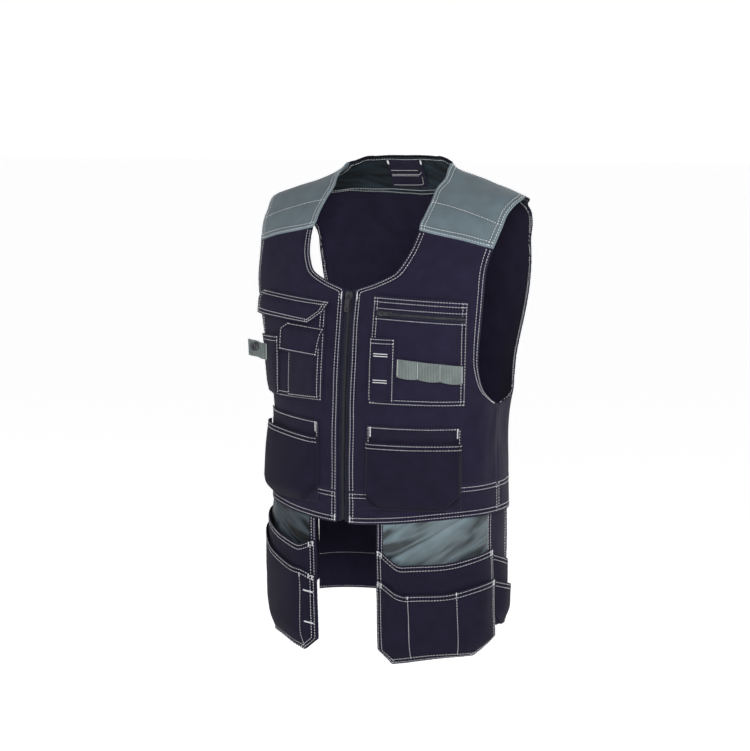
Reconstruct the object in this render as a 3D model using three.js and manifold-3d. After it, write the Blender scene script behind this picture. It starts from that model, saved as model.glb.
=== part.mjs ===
// A utility work vest in its worn form, in millimetres.
// +Z is up, the front faces -Y and the wearer's left is +X.
// The origin lies between the shoulders, at the height where the vest sits on them.
import * as THREE from "three";
import { mergeVertices } from "three/addons/utils/BufferGeometryUtils.js";
import Module from "manifold-3d";

const wasm = await Module();
wasm.setup();

// Driving dimensions of the body.
const BODY_LENGTH = 517; // from the shoulder seat to the front hem at the zip
const CHEST_WIDTH = 462;
const CHEST_DEPTH = 266;
const NECK_WIDTH = 212; // between the two neck points
const NECK_DEPTH = 155; // from the seat to the top of the zip
const NECK_POINT_RISE = 37.3;
const BACK_NECK_RISE = 49;
const TIP_DROP = 13; // from the seat to the shoulder tip
const UNDERARM_DROP = 331;
const HEM_DIP = 17; // how far the front hem sinks from the side to the zip
const BAND_HEIGHT = 49;
const TAIL_LENGTH = 181; // from the waist hem to the tail's own hem

// Cloth.
const SHELL = 2;
const BAND_SHELL = 2.4;
const PATCH_CLOTH = 1.6;
const LINING_CLOTH = 1;
const GAP = 0.8; // between two layers of cloth
const SEAM = 0.4; // between two panels that are sewn edge to edge
const YOKE_SEAM = 2; // between the back yoke and the back panel, where the cloth bends

// The front zip.
const ZIP_OPENING = 22; // between the two front edges
const TAPE_WIDTH = 24;
const TAPE_CLOTH = 1;
const TEETH_WIDTH = 6;
const TEETH_HEIGHT = 2.6;
const SLIDER = { width: 11, length: 14, height: 4, pullLength: 25, pullWidth: 8 };

// Shoulder yokes, back yoke, neck facing and the bare patch in the neck.
const YOKE_DROP = { neck: 63, arm: 88 };
const YOKE_BEHIND = 0.035; // share of the back quarter that the grey yoke laps behind the shoulder line
const BACK_YOKE_DROP = { neck: 14, arm: 40 };
const FACING_INSET = 1.5;
const NECK_PATCH = { width: 66, height: 44, inset: 4, shift: -8, lean: 10 };

// Chest pockets. "near" and "far" are measured round the body from the zip's centre line, "slope" is
// how much lower the far end of a top edge is.
const CHEST_LEFT = { near: 47, far: 198, top: 163, slope: 5, bottom: 328, depth: 3 };
const CHEST_RIGHT = { near: 40, far: 195, top: 186, slope: -6, bottom: 330, depth: 2 };
const CHEST_FLAP = { near: 34, far: 191, top: 175, slope: -12, drop: 38, stand: 4 };
const PHONE_POUCH = { near: 44, far: 110, top: 232, slope: -4, bottom: 326, depth: 3 };
const PHONE_FLAP = { near: 37, far: 125, top: 217, slope: -6, drop: 44, stand: 0.5 };
const PEN_POUCH = { near: 136, far: 193, top: 234, slope: 0, bottom: 326, depth: 2 };
const PEN_STRIP = { near: 48, far: 90, top: 226, slope: 0, bottom: 322, depth: 2 };
const WEBBING = { near: 94, far: 192, top: 257, slope: 8, height: 26, bulge: 4.5, cells: 3, cloth: 1.2 };
const POCKET_ZIP = { near: 56, far: 194, drop: 189, slope: 5, width: 9, teeth: 4, height: 1.8 };
const POCKET_SLIDER = { width: 8, length: 10, height: 2.6, pullLength: 20, pullWidth: 6 };

// Outlines of the flaps from the seam down, as shares of the flap's drop and of its width.
const CHEST_FLAP_OUTLINE = [
  { down: 0, near: 0, far: 0.97, lift: 0 },
  { down: 0.2, near: 0.005, far: 1.01, lift: 0.6 },
  { down: 0.42, near: 0.02, far: 1.02, lift: 0.95 },
  { down: 0.72, near: 0.12, far: 1.04, lift: 1 },
  { down: 1, near: 0.22, far: 1.06, lift: 1 },
];
const PHONE_FLAP_OUTLINE = [
  { down: 0, near: 0, far: 0.86, lift: 0 },
  { down: 0.12, near: 0.01, far: 0.93, lift: 0.5 },
  { down: 0.24, near: 0.02, far: 1, lift: 0.9 },
  { down: 0.6, near: 0.06, far: 1.01, lift: 1 },
  { down: 1, near: 0.09, far: 1.02, lift: 1 },
];

// The grey tab with a snap at the wearer's right.
const SNAP_TAB = { at: 181, drop: 262, height: 25, foot: 13, reach: 23, fall: 8, cloth: 1.8 };
const SNAP = { radius: 7, height: 3, out: 13 };

// Lower pockets: a back panel and a deep pouch with cut corners.
const LOWER_BACK = { top: BODY_LENGTH - 156, bottom: BODY_LENGTH - 28 };
const LOWER_POUCH = { top: BODY_LENGTH - 131, bottom: BODY_LENGTH - 29, cut: 26, edge: 12, mouth: 0.4 };
const LOWER_SIDES = {
  left: { near: 45, far: 193, slope: 0, depth: 20 },
  right: { near: 46, far: 186, slope: -9, depth: 13 },
};

// Hanging holsters. Drops are measured below the waist hem.
const TUCK = 16; // how far a hanging piece reaches up behind the waist band
const HOLSTERS = {
  left: { near: 60, far: 261, length: 219 },
  right: { near: 56, far: 258, length: 219 },
};
const HOLSTER_CUTS = {
  left: { near: { wide: 24, tall: 20 }, far: { wide: 48, tall: 24 } },
  right: { near: { wide: 28, tall: 21 }, far: { wide: 76, tall: 76 } },
};
const HOLSTER_LINING = { inset: 12, top: 1.5, bottom: 100 };
const HOLSTER_MOUTHS = {
  left: {
    upper: { near: 40, middle: 67, far: 57, steep: 4, rise: 0.5 },
    lower: { near: 88, middle: 113, far: 104, steep: 4, rise: 0.5 },
  },
  right: {
    upper: { near: 38, middle: 51, far: 22, steep: 6, rise: 0.1 },
    lower: { near: 94, middle: 87, far: 45, steep: 8, rise: 0.15 },
  },
};
const UPPER_POUCH_DEPTH = 8;
const LOWER_POUCH_DEPTH = 10;
const SIDE_HOLSTER = { near: 255, far: 334, length: 183 };
const SIDE_CUTS = { near: { wide: 22, tall: 21 }, far: { wide: 30, tall: 21 } };
// Heights above the foot where a hanging pocket's cloth turns.
const FRONT_RISERS = [0, 10, 21, 34, 48, 76];
const SIDE_RISERS = [0, 10, 21, 34, 48];
const SIDE_POUCH = { near: 265, top: 66, slant: 24, depth: 4 };
const SIDE_LOWER_POUCH = { top: 108, slant: 22, depth: 3 };
const TAIL_EDGE = 338;

// The body's horizontal sections. drop is a share of BODY_LENGTH below the seat, width a share of half
// CHEST_WIDTH, and front, side and back are shares of half CHEST_DEPTH: where the section is furthest
// forward, widest and furthest back. square is its superellipse exponent.
const SECTIONS = [
  { drop: -0.122, width: 0.158, front: -0.106, side: 0.12, back: 0.336, square: 2 },
  { drop: -0.09, width: 0.385, front: -0.085, side: 0.14, back: 0.431, square: 2 },
  { drop: -0.058, width: 0.452, front: -0.066, side: 0.21, back: 0.538, square: 2.1 },
  { drop: -0.015, width: 0.71, front: -0.125, side: 0.29, back: 0.67, square: 2.1 },
  { drop: 0.026, width: 0.99, front: -0.25, side: 0.165, back: 0.735, square: 2.2 },
  { drop: 0.084, width: 1.077, front: -0.457, side: 0.118, back: 0.855, square: 2.35 },
  { drop: 0.17, width: 1.084, front: -0.658, side: 0.1, back: 0.963, square: 2.5 },
  { drop: 0.271, width: 1.057, front: -0.822, side: 0.084, back: 1.045, square: 2.5 },
  { drop: 0.3675, width: 1.015, front: -0.892, side: 0.088, back: 1.11, square: 2.5 },
  { drop: 0.522, width: 0.916, front: -0.959, side: 0.047, back: 1.094, square: 2.5 },
  { drop: 0.667, width: 0.85, front: -0.995, side: 0.014, back: 1.03, square: 2.45 },
  { drop: 0.832, width: 0.856, front: -1.012, side: 0.004, back: 0.978, square: 2.4 },
  { drop: 1.021, width: 0.861, front: -1.015, side: 0.008, back: 0.977, square: 2.4 },
  { drop: 1.238, width: 0.861, front: -0.985, side: 0.008, back: 0.962, square: 2.4 },
  { drop: 1.547, width: 0.861, front: -0.932, side: 0.008, back: 0.932, square: 2.4 },
];

// The armhole seen from the side. fall is a share of the way from the shoulder tip to the underarm,
// front and back are shares of half CHEST_DEPTH before and behind the widest line.
const ARMHOLE = [
  { fall: 0, front: 0, back: 0 },
  { fall: 0.03, front: 0.165, back: 0.33 },
  { fall: 0.09, front: 0.296, back: 0.425 },
  { fall: 0.2, front: 0.432, back: 0.577 },
  { fall: 0.32, front: 0.536, back: 0.639 },
  { fall: 0.46, front: 0.575, back: 0.68 },
  { fall: 0.61, front: 0.572, back: 0.705 },
  { fall: 0.73, front: 0.531, back: 0.695 },
  { fall: 0.84, front: 0.459, back: 0.665 },
  { fall: 0.93, front: 0.33, back: 0.575 },
  { fall: 0.985, front: 0.134, back: 0.3 },
  { fall: 1, front: 0, back: 0 },
];

// The front neckline. reach is a share of half NECK_WIDTH, depth a share of NECK_DEPTH.
const NECKLINE = [
  { reach: 0.17, depth: 0.985 },
  { reach: 0.42, depth: 0.93 },
  { reach: 0.695, depth: 0.84 },
  { reach: 0.817, depth: 0.73 },
  { reach: 0.899, depth: 0.59 },
  { reach: 0.944, depth: 0.41 },
  { reach: 0.932, depth: 0.3 },
  { reach: 0.917, depth: 0 },
];

// The back neckline. round is a share of the way from the shoulder line to the middle of the back, rise
// a share of the way from the neck point to the top.
const BACK_NECKLINE = [
  { round: 0, rise: 0 },
  { round: 0.14, rise: 0.32 },
  { round: 0.28, rise: 0.9 },
  { round: 0.42, rise: 0.92 },
  { round: 0.56, rise: 0.99 },
  { round: 1, rise: 1 },
];

// Soft folds of the cloth. side is 1 on the wearer's left, -1 on the right. round is a share of the
// front quarter, drop a share of BODY_LENGTH, and lean tilts the fold from level. The others are in
// shares of CHEST_WIDTH: half the fold's length and width, and its height.
const FOLDS = [
  { side: 1, round: 0.88, drop: 0.74, lean: 5, long: 0.13, wide: 0.05, high: 0.011 },
  { side: 1, round: 1.12, drop: 0.73, lean: -6, long: 0.15, wide: 0.055, high: -0.01 },
  { side: -1, round: 0.92, drop: 0.76, lean: 6, long: 0.12, wide: 0.055, high: 0.009 },
  { side: 1, round: 1.5, drop: 0.7, lean: 4, long: 0.2, wide: 0.07, high: 0.014 },
  { side: -1, round: 1.52, drop: 0.66, lean: -4, long: 0.22, wide: 0.07, high: 0.014 },
  { side: -1, round: 1.3, drop: 0.45, lean: 3, long: 0.2, wide: 0.07, high: -0.012 },
  { side: 1, round: 1.32, drop: 0.42, lean: -3, long: 0.2, wide: 0.07, high: -0.012 },
];

const LEFT = 1;
const RIGHT = -1;
const FINEST = 1e-6;

const colours = {
  navy: 0x201f33,
  navyDark: 0x191826,
  grey: 0x5d6d72,
  greyDark: 0x243236,
  webbing: 0x7a8482,
  zip: 0x15141f,
  metal: 0x2a2b33,
};
const cloth = (color) => new THREE.MeshStandardMaterial({ color, roughness: 0.9, metalness: 0 });
const materials = {
  navy: cloth(colours.navy),
  navyDark: cloth(colours.navyDark),
  grey: cloth(colours.grey),
  greyDark: cloth(colours.greyDark),
  satin: new THREE.MeshStandardMaterial({ color: colours.grey, roughness: 0.45, metalness: 0 }),
  webbing: cloth(colours.webbing),
  zip: new THREE.MeshStandardMaterial({ color: colours.zip, roughness: 0.5, metalness: 0 }),
  metal: new THREE.MeshStandardMaterial({ color: colours.metal, roughness: 0.4, metalness: 0.7 }),
};

const vest = new THREE.Group();

function addMesh(name, geometry, material, parent = vest) {
  const mesh = new THREE.Mesh(geometry, material);
  mesh.name = name;
  parent.add(mesh);
  return mesh;
}

// Numbers and curves.

const mix = (from, to, share) => from + (to - from) * share;
const clamp = (value, low, high) => Math.min(high, Math.max(low, value));
const count = (length) => Array.from({ length }, (_, i) => i);
const shares = (steps) => count(steps + 1).map((i) => i / steps);
// Rises from 0 to 1 over the given distance, as a rounded edge does.
const roundOff = (distance, radius) => Math.sin((clamp(distance / radius, 0, 1) * Math.PI) / 2);
const smooth = (share) => {
  const t = clamp(share, 0, 1);
  return t * t * (3 - 2 * t);
};

// A smooth value from the rows of a table, at x along its key column.
function fromTable(rows, key, column, x) {
  const last = rows.length - 1;
  const slope = (i) => (rows[i + 1][column] - rows[i][column]) / (rows[i + 1][key] - rows[i][key]);
  const step = (i) => rows[i + 1][key] - rows[i][key];
  const tangent = (i) => {
    if (i === 0) return slope(0);
    if (i === last) return slope(last - 1);
    return (slope(i) * step(i - 1) + slope(i - 1) * step(i)) / (step(i) + step(i - 1));
  };
  const at = clamp(x, rows[0][key], rows[last][key]);
  let i = 0;
  while (i < last - 1 && at > rows[i + 1][key]) i++;
  const h = step(i);
  const t = (at - rows[i][key]) / h;
  return (
    (2 * t ** 3 - 3 * t ** 2 + 1) * rows[i][column] +
    (t ** 3 - 2 * t ** 2 + t) * h * tangent(i) +
    (3 * t ** 2 - 2 * t ** 3) * rows[i + 1][column] +
    (t ** 3 - t ** 2) * h * tangent(i + 1)
  );
}

// A curve through places on the body, as a function of 0 to 1 that moves evenly along it.
function evenCurve(places) {
  const quarter = 0.6 * CHEST_WIDTH;
  const curve = new THREE.SplineCurve(places.map(([x, y]) => new THREE.Vector2(x * quarter, y)));
  return (t) => {
    const { x, y } = curve.getPointAt(clamp(t, 0, 1));
    return [x / quarter, y];
  };
}

// The body surface.

const QUARTER_STEPS = 48;
const sections = new Map();

// The section at height z: half of it, from the middle of the front round to the middle of the back.
function sectionAt(z) {
  const key = z.toFixed(3);
  if (sections.has(key)) return sections.get(key);
  const drop = -z / BODY_LENGTH;
  const value = (column) => fromTable(SECTIONS, "drop", column, drop);
  const halfWidth = (value("width") * CHEST_WIDTH) / 2;
  const [front, side, back] = ["front", "side", "back"].map((c) => (value(c) * CHEST_DEPTH) / 2);
  const power = 2 / value("square");
  const xs = [];
  const ys = [];
  const lengths = [];
  for (const share of shares(2 * QUARTER_STEPS)) {
    const angle = share * Math.PI;
    const ahead = Math.cos(angle);
    const depth = ahead >= 0 ? side - front : back - side;
    xs.push(halfWidth * Math.abs(Math.sin(angle)) ** power);
    ys.push(side - Math.sign(ahead) * depth * Math.abs(ahead) ** power);
    const i = xs.length - 1;
    lengths.push(i ? lengths[i - 1] + Math.hypot(xs[i] - xs[i - 1], ys[i] - ys[i - 1]) : 0);
  }
  const section = { xs, ys, lengths, side, quarter: lengths[QUARTER_STEPS], half: lengths.at(-1) };
  sections.set(key, section);
  return section;
}

// The value of ys where xs, which rises or falls steadily, reaches x.
function readOff(xs, ys, x) {
  const rising = xs.at(-1) > xs[0];
  let i = 0;
  while (i < xs.length - 2 && (rising ? xs[i + 1] < x : xs[i + 1] > x)) i++;
  const share = clamp((x - xs[i]) / (xs[i + 1] - xs[i] || FINEST), 0, 1);
  return mix(ys[i], ys[i + 1], share);
}

// A place on the body is (round, z): round runs from 0 at the middle of the front, over 1 at the side
// and on the shoulder line, to 2 at the middle of the back.
function lengthOf(round, z) {
  const { quarter, half } = sectionAt(z);
  return round <= 1 ? round * quarter : quarter + (round - 1) * (half - quarter);
}
function roundOf(length, z) {
  const { quarter, half } = sectionAt(z);
  return length <= quarter ? length / quarter : 1 + (length - quarter) / (half - quarter);
}
function roundAtX(x, z) {
  const { xs, lengths } = sectionAt(z);
  const front = QUARTER_STEPS + 1;
  return roundOf(readOff(xs.slice(0, front), lengths.slice(0, front), x), z);
}
function roundAtY(y, z) {
  const { ys, lengths } = sectionAt(z);
  return roundOf(readOff(ys, lengths, y), z);
}

function bodyPoint(round, z, side) {
  const { xs, ys, lengths } = sectionAt(z);
  const along = lengthOf(round, z);
  return new THREE.Vector3(side * readOff(lengths, xs, along), readOff(lengths, ys, along), z);
}

function bodyNormal(round, z, side) {
  const [acrossStep, upStep] = [0.02, 3];
  const low = Math.max(round - acrossStep, 0);
  const high = Math.min(round + acrossStep, 2);
  const across = bodyPoint(high, z, side).sub(bodyPoint(low, z, side));
  const up = bodyPoint(round, z + upStep, side).sub(bodyPoint(round, z - upStep, side));
  const normal = across.cross(up).normalize();
  if (round < acrossStep || round > 2 - acrossStep) normal.setX(0).normalize();
  return side === LEFT ? normal : normal.negate();
}

function foldHeight(round, z, side) {
  let height = 0;
  for (const fold of FOLDS) {
    if (fold.side && fold.side !== side) continue;
    const across = lengthOf(round, z) - lengthOf(fold.round, z);
    const up = z + fold.drop * BODY_LENGTH;
    const tilt = Math.atan(fold.lean);
    const along = across * Math.cos(tilt) + up * Math.sin(tilt);
    const off = up * Math.cos(tilt) - across * Math.sin(tilt);
    const spread = (along / (fold.long * CHEST_WIDTH)) ** 2 + (off / (fold.wide * CHEST_WIDTH)) ** 2;
    height += fold.high * CHEST_WIDTH * Math.exp(-spread);
  }
  return height;
}

// A point at the given height over the body surface, folds included.
function over(round, z, side, height) {
  const out = height + foldHeight(round, z, side);
  return bodyPoint(round, z, side).addScaledVector(bodyNormal(round, z, side), out);
}
const overLength = (length, z, side, height) => over(roundOf(length, z), z, side, height);

// Sheets.

// A closed sheet of cloth of even thickness round a grid of points, rows of equal length.
function sheet(grid, thickness) {
  const rows = grid.length;
  const columns = grid[0].length;
  const normalAt = (r, c) => {
    const across = grid[r][Math.min(c + 1, columns - 1)].clone().sub(grid[r][Math.max(c - 1, 0)]);
    const up = grid[Math.min(r + 1, rows - 1)][c].clone().sub(grid[Math.max(r - 1, 0)][c]);
    return across.cross(up).normalize();
  };
  const positions = [];
  for (const out of [thickness / 2, -thickness / 2]) {
    for (const r of count(rows)) {
      for (const c of count(columns)) {
        const point = grid[r][c].clone().addScaledVector(normalAt(r, c), out);
        positions.push(...point.toArray());
      }
    }
  }
  const under = rows * columns;
  const at = (r, c) => r * columns + c;
  const index = [];
  const quad = (a, b, c, d) => index.push(a, b, c, a, c, d);
  for (const r of count(rows - 1)) {
    for (const c of count(columns - 1)) {
      quad(at(r, c), at(r, c + 1), at(r + 1, c + 1), at(r + 1, c));
      quad(under + at(r, c), under + at(r + 1, c), under + at(r + 1, c + 1), under + at(r, c + 1));
    }
  }
  const rim = [
    ...count(columns - 1).map((c) => [at(0, c), at(0, c + 1)]),
    ...count(rows - 1).map((r) => [at(r, columns - 1), at(r + 1, columns - 1)]),
    ...count(columns - 1).map((c) => [at(rows - 1, columns - 1 - c), at(rows - 1, columns - 2 - c)]),
    ...count(rows - 1).map((r) => [at(rows - 1 - r, 0), at(rows - 2 - r, 0)]),
  ];
  for (const [a, b] of rim) quad(b, a, under + a, under + b);
  const geometry = new THREE.BufferGeometry();
  geometry.setAttribute("position", new THREE.Float32BufferAttribute(positions, 3));
  geometry.setIndex(index);
  return facingOut(geometry);
}

function volumeOf(geometry) {
  const position = geometry.attributes.position;
  const index = geometry.index.array;
  const corner = (i) => new THREE.Vector3().fromBufferAttribute(position, index[i]);
  let volume = 0;
  for (let i = 0; i < index.length; i += 3) {
    volume += corner(i).dot(corner(i + 1).cross(corner(i + 2))) / 6;
  }
  return volume;
}

// Turns the faces round where the grid ran the other way.
function facingOut(geometry) {
  if (volumeOf(geometry) < 0) geometry.index.array.reverse();
  geometry.computeVertexNormals();
  return geometry;
}

// A grid between four edges, each a function of 0 to 1 that gives (round, z), as a Coons patch.
function between({ bottom, right, top, left }, rows, columns, place) {
  const corner = (c, t) => (t ? top : bottom)(c);
  return rows.map((t) =>
    columns.map((c) => {
      const [low, high, near, far] = [bottom(c), top(c), left(t), right(t)];
      const blend = (k) =>
        mix(low[k], high[k], t) +
        mix(near[k], far[k], c) -
        mix(mix(corner(0, 0)[k], corner(1, 0)[k], c), mix(corner(0, 1)[k], corner(1, 1)[k], c), t);
      return place(blend(0), blend(1));
    }),
  );
}

// Edges of the garment.

const hemZ = (length) => -BODY_LENGTH + HEM_DIP * smooth(length / (0.46 * CHEST_WIDTH));
const bandTopZ = (length) => hemZ(length) + BAND_HEIGHT;
const zipHalf = ZIP_OPENING / 2;
const tipZ = -TIP_DROP;
const underarmZ = -UNDERARM_DROP;
const neckPointZ = NECK_POINT_RISE;

const armholePoint = (column, sign) => (row) => {
  const z = mix(tipZ, underarmZ, row.fall);
  const y = sectionAt(z).side + (sign * row[column] * CHEST_DEPTH) / 2;
  return [row[column] ? roundAtY(y, z) : 1, z];
};
// Armhole edges run from the underarm up to the shoulder tip.
const armholeFront = evenCurve(ARMHOLE.map(armholePoint("front", -1)).reverse());
const armholeBack = evenCurve(ARMHOLE.map(armholePoint("back", 1)).reverse());

const zipTopZ = -NECK_DEPTH;
const neckline = evenCurve([
  [roundAtX(zipHalf, zipTopZ), zipTopZ],
  ...NECKLINE.map(({ reach, depth }) => {
    const z = -depth * NECK_DEPTH;
    return [roundAtX((reach * NECK_WIDTH) / 2, z), z];
  }),
  [1, neckPointZ],
]);
const backNeckline = (share) => {
  const rise = fromTable(BACK_NECKLINE, "round", "rise", share);
  return [mix(1, 2, share), mix(neckPointZ, BACK_NECK_RISE, rise)];
};
const shoulderLine = (share) => [1, mix(neckPointZ, tipZ, share)];

// Body panels.

const shoulderSeam = (SEAM / CHEST_DEPTH) * 2;

// How far along a rising curve it reaches height z.
function shareAtZ(curve, z) {
  let [low, high] = [0, 1];
  for (const _ of count(30)) {
    const middle = (low + high) / 2;
    if (curve(middle)[1] < z) low = middle;
    else high = middle;
  }
  return low;
}
// Runs through the values as t passes the knots.
function through(knots, values, t) {
  let i = 0;
  while (i < knots.length - 2 && t > knots[i + 1]) i++;
  return mix(values[i], values[i + 1], clamp((t - knots[i]) / (knots[i + 1] - knots[i]), 0, 1));
}

// Rows of the front pass the underarm, the top of the zip and the seam of the shoulder yoke.
const FRONT_ROWS = { underarm: 4, zipTop: 7, yoke: 12, all: 17 };
const FRONT_COLUMNS = 10;
const frontRow = (name) => FRONT_ROWS[name] / FRONT_ROWS.all;
const neckAtYoke = shareAtZ(neckline, -YOKE_DROP.neck);
const armAtYoke = shareAtZ(armholeFront, -YOKE_DROP.arm);
const sideBottomZ = bandTopZ(CHEST_WIDTH) + SEAM;

const frontEdges = {
  bottom: (c) => {
    const length = mix(zipHalf, sectionAt(sideBottomZ).quarter, c);
    const z = bandTopZ(length) + SEAM;
    return [clamp(roundOf(length, z), 0, 1 - shoulderSeam), z];
  },
  left: (t) => {
    if (t <= frontRow("zipTop")) {
      const z = mix(bandTopZ(zipHalf) + SEAM, zipTopZ, t / frontRow("zipTop"));
      return [roundOf(zipHalf, z), z];
    }
    const knots = [frontRow("zipTop"), frontRow("yoke"), 1];
    const [round, z] = neckline(through(knots, [0, neckAtYoke, 1], t));
    return [Math.min(round, 1 - shoulderSeam), z];
  },
  right: (t) => {
    if (t <= frontRow("underarm")) {
      return [1 - shoulderSeam, mix(sideBottomZ, underarmZ, t / frontRow("underarm"))];
    }
    const knots = [frontRow("underarm"), frontRow("yoke"), 1];
    const [round, z] = armholeFront(through(knots, [0, armAtYoke, 1], t));
    return [Math.min(round, 1 - shoulderSeam), z];
  },
  top: (c) => [1 - shoulderSeam, shoulderLine(c)[1]],
};

const seamShare = SEAM / BODY_LENGTH;
function addFrontPanel(name, side) {
  const rows = shares(FRONT_ROWS.all).slice(0, FRONT_ROWS.yoke + 1);
  rows[FRONT_ROWS.yoke] -= seamShare;
  const place = (round, z) => over(round, z, side, 0);
  const grid = between(frontEdges, rows, shares(FRONT_COLUMNS), place);
  addMesh(name, sheet(grid, SHELL), materials.navy);
}

// A grey yoke, from the front seam over the shoulder line to the seam behind it.
function addShoulderYoke(name, side) {
  const rows = shares(FRONT_ROWS.all).slice(FRONT_ROWS.yoke);
  rows[0] += seamShare;
  const columns = shares(FRONT_COLUMNS);
  const grid = between(frontEdges, rows, columns, (round, z) => over(round, z, side, 0));
  const lap = columns.map((c) => over(1 + YOKE_BEHIND - shoulderSeam, shoulderLine(c)[1], side, 0));
  addMesh(name, sheet([...grid, lap], SHELL), materials.grey);
}

// Rows of the back pass the underarm and the seam of the back yoke.
const BACK_ROWS = { underarm: 4, yoke: 13, all: 17 };
const BACK_COLUMNS = 9;
const NECK_COLUMNS = 4; // of the back columns, from the middle to the neck point
const backRow = (name) => BACK_ROWS[name] / BACK_ROWS.all;
const neckShare = NECK_COLUMNS / BACK_COLUMNS;
const armAtBackYoke = shareAtZ(armholeBack, -BACK_YOKE_DROP.arm);
const behindYoke = 1 + YOKE_BEHIND + 2 * shoulderSeam;
const backEdges = {
  bottom: (c) => [mix(2, 1 + shoulderSeam, c), sideBottomZ],
  left: (t) => {
    const knots = [0, backRow("yoke"), 1];
    return [2, through(knots, [sideBottomZ, -BACK_YOKE_DROP.neck, BACK_NECK_RISE], t)];
  },
  right: (t) => {
    if (t <= backRow("underarm")) {
      return [1 + shoulderSeam, mix(sideBottomZ, underarmZ, t / backRow("underarm"))];
    }
    const knots = [backRow("underarm"), backRow("yoke"), 1];
    const [round, z] = armholeBack(through(knots, [0, armAtBackYoke, 1], t));
    return [Math.max(round, t > backRow("yoke") ? behindYoke : 1 + shoulderSeam), z];
  },
  top: (c) => {
    const [round, z] =
      c < neckShare
        ? backNeckline(1 - c / neckShare)
        : shoulderLine((c - neckShare) / (1 - neckShare));
    return [Math.max(round, behindYoke), z];
  },
};

// A grid that spans the middle of the back: the half row to the wearer's left, then its mirror.
function spanBack(edges, rows, columns, height) {
  const half = (side) =>
    between(edges, rows, columns, (round, z) => over(round, z, side, height(round, z)));
  const [left, right] = [half(LEFT), half(RIGHT)];
  return left.map((row, r) => [...row.slice().reverse(), ...right[r].slice(1)]);
}

function addBack() {
  const rows = shares(BACK_ROWS.all);
  const lower = rows.slice(0, BACK_ROWS.yoke + 1);
  lower[BACK_ROWS.yoke] -= YOKE_SEAM / BODY_LENGTH;
  const upper = rows.slice(BACK_ROWS.yoke);
  upper[0] += YOKE_SEAM / BODY_LENGTH;
  for (const [name, part] of [["back_panel", lower], ["back_yoke", upper]]) {
    const grid = spanBack(backEdges, part, shares(BACK_COLUMNS), () => 0);
    addMesh(name, sheet(grid, SHELL), materials.navy);
  }
}

function addBands() {
  const rows = shares(2);
  for (const [name, side] of [["front_band_left", LEFT], ["front_band_right", RIGHT]]) {
    const grid = rows.map((t) => {
      const seamZ = mix(hemZ(CHEST_WIDTH), bandTopZ(CHEST_WIDTH), t);
      const far = sectionAt(seamZ).quarter - SEAM;
      return shares(FRONT_COLUMNS).map((c) => {
        const length = mix(zipHalf, far, c);
        return overLength(length, mix(hemZ(length), bandTopZ(length), t), side, 0);
      });
    });
    addMesh(name, sheet(grid, BAND_SHELL), materials.navy);
  }
  const backBand = {
    bottom: (c) => [mix(2, 1 + shoulderSeam, c), hemZ(CHEST_WIDTH)],
    top: (c) => [mix(2, 1 + shoulderSeam, c), bandTopZ(CHEST_WIDTH)],
    left: (t) => [2, mix(hemZ(CHEST_WIDTH), bandTopZ(CHEST_WIDTH), t)],
    right: (t) => [1 + shoulderSeam, mix(hemZ(CHEST_WIDTH), bandTopZ(CHEST_WIDTH), t)],
  };
  const grid = spanBack(backBand, rows, shares(BACK_COLUMNS), () => 0);
  addMesh("back_band", sheet(grid, BAND_SHELL), materials.navy);
}

// The inner facing at the back of the neck, and the bare patch sewn on it.
const facingHeight = -(SHELL / 2 + 2 * GAP + LINING_CLOTH / 2);
function addNeckFacing() {
  const rows = shares(BACK_ROWS.all).slice(BACK_ROWS.yoke);
  rows[rows.length - 1] -= FACING_INSET / BODY_LENGTH;
  const columns = shares(BACK_COLUMNS).map((c) => c * (1 - FACING_INSET / CHEST_WIDTH));
  const grid = spanBack(backEdges, rows, columns, () => facingHeight);
  addMesh("neck_facing", sheet(grid, LINING_CLOTH), materials.greyDark);
  const patchHeight = facingHeight - LINING_CLOTH - 2 * GAP;
  const top = BACK_NECK_RISE - NECK_PATCH.inset;
  const patch = shares(4).map((t) =>
    shares(6).map((c) => {
      const z = mix(top - NECK_PATCH.height, top, t);
      const x = NECK_PATCH.shift - NECK_PATCH.lean * (1 - t) + mix(-0.5, 0.5, c) * NECK_PATCH.width;
      const side = x < 0 ? RIGHT : LEFT;
      return overLength(sectionAt(z).half - Math.abs(x), z, side, patchHeight);
    }),
  );
  addMesh("neck_patch", sheet(patch, LINING_CLOTH), materials.navyDark);
}

// The front zip.
const tapeHeight = -(SHELL / 2 + GAP + TAPE_CLOTH / 2);
function addFrontZip() {
  const bottomZ = hemZ(0) + 2;
  const levels = shares(16).map((t) => mix(bottomZ, zipTopZ, t));
  const bandHeight = -(BAND_SHELL / 2 + GAP + TAPE_CLOTH / 2);
  const heightAt = (z) => mix(bandHeight, tapeHeight, smooth((z - bandTopZ(0)) / BAND_HEIGHT));
  for (const [name, side] of [["zip_tape_left", LEFT], ["zip_tape_right", RIGHT]]) {
    const grid = levels.map((z) =>
      shares(2).map((c) => {
        const length = mix(TEETH_WIDTH / 2 + SEAM, TAPE_WIDTH, c);
        return overLength(length, z, side, heightAt(z));
      }),
    );
    addMesh(name, sheet(grid, TAPE_CLOTH), materials.zip);
  }
  const teeth = levels.map((z) =>
    [RIGHT, LEFT].map((side) => overLength(TEETH_WIDTH / 2, z, side, heightAt(z) + TEETH_HEIGHT / 4)),
  );
  addMesh("zip_teeth", sheet(teeth, TEETH_HEIGHT), materials.zip);
}

// Sliders and pulls.

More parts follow.
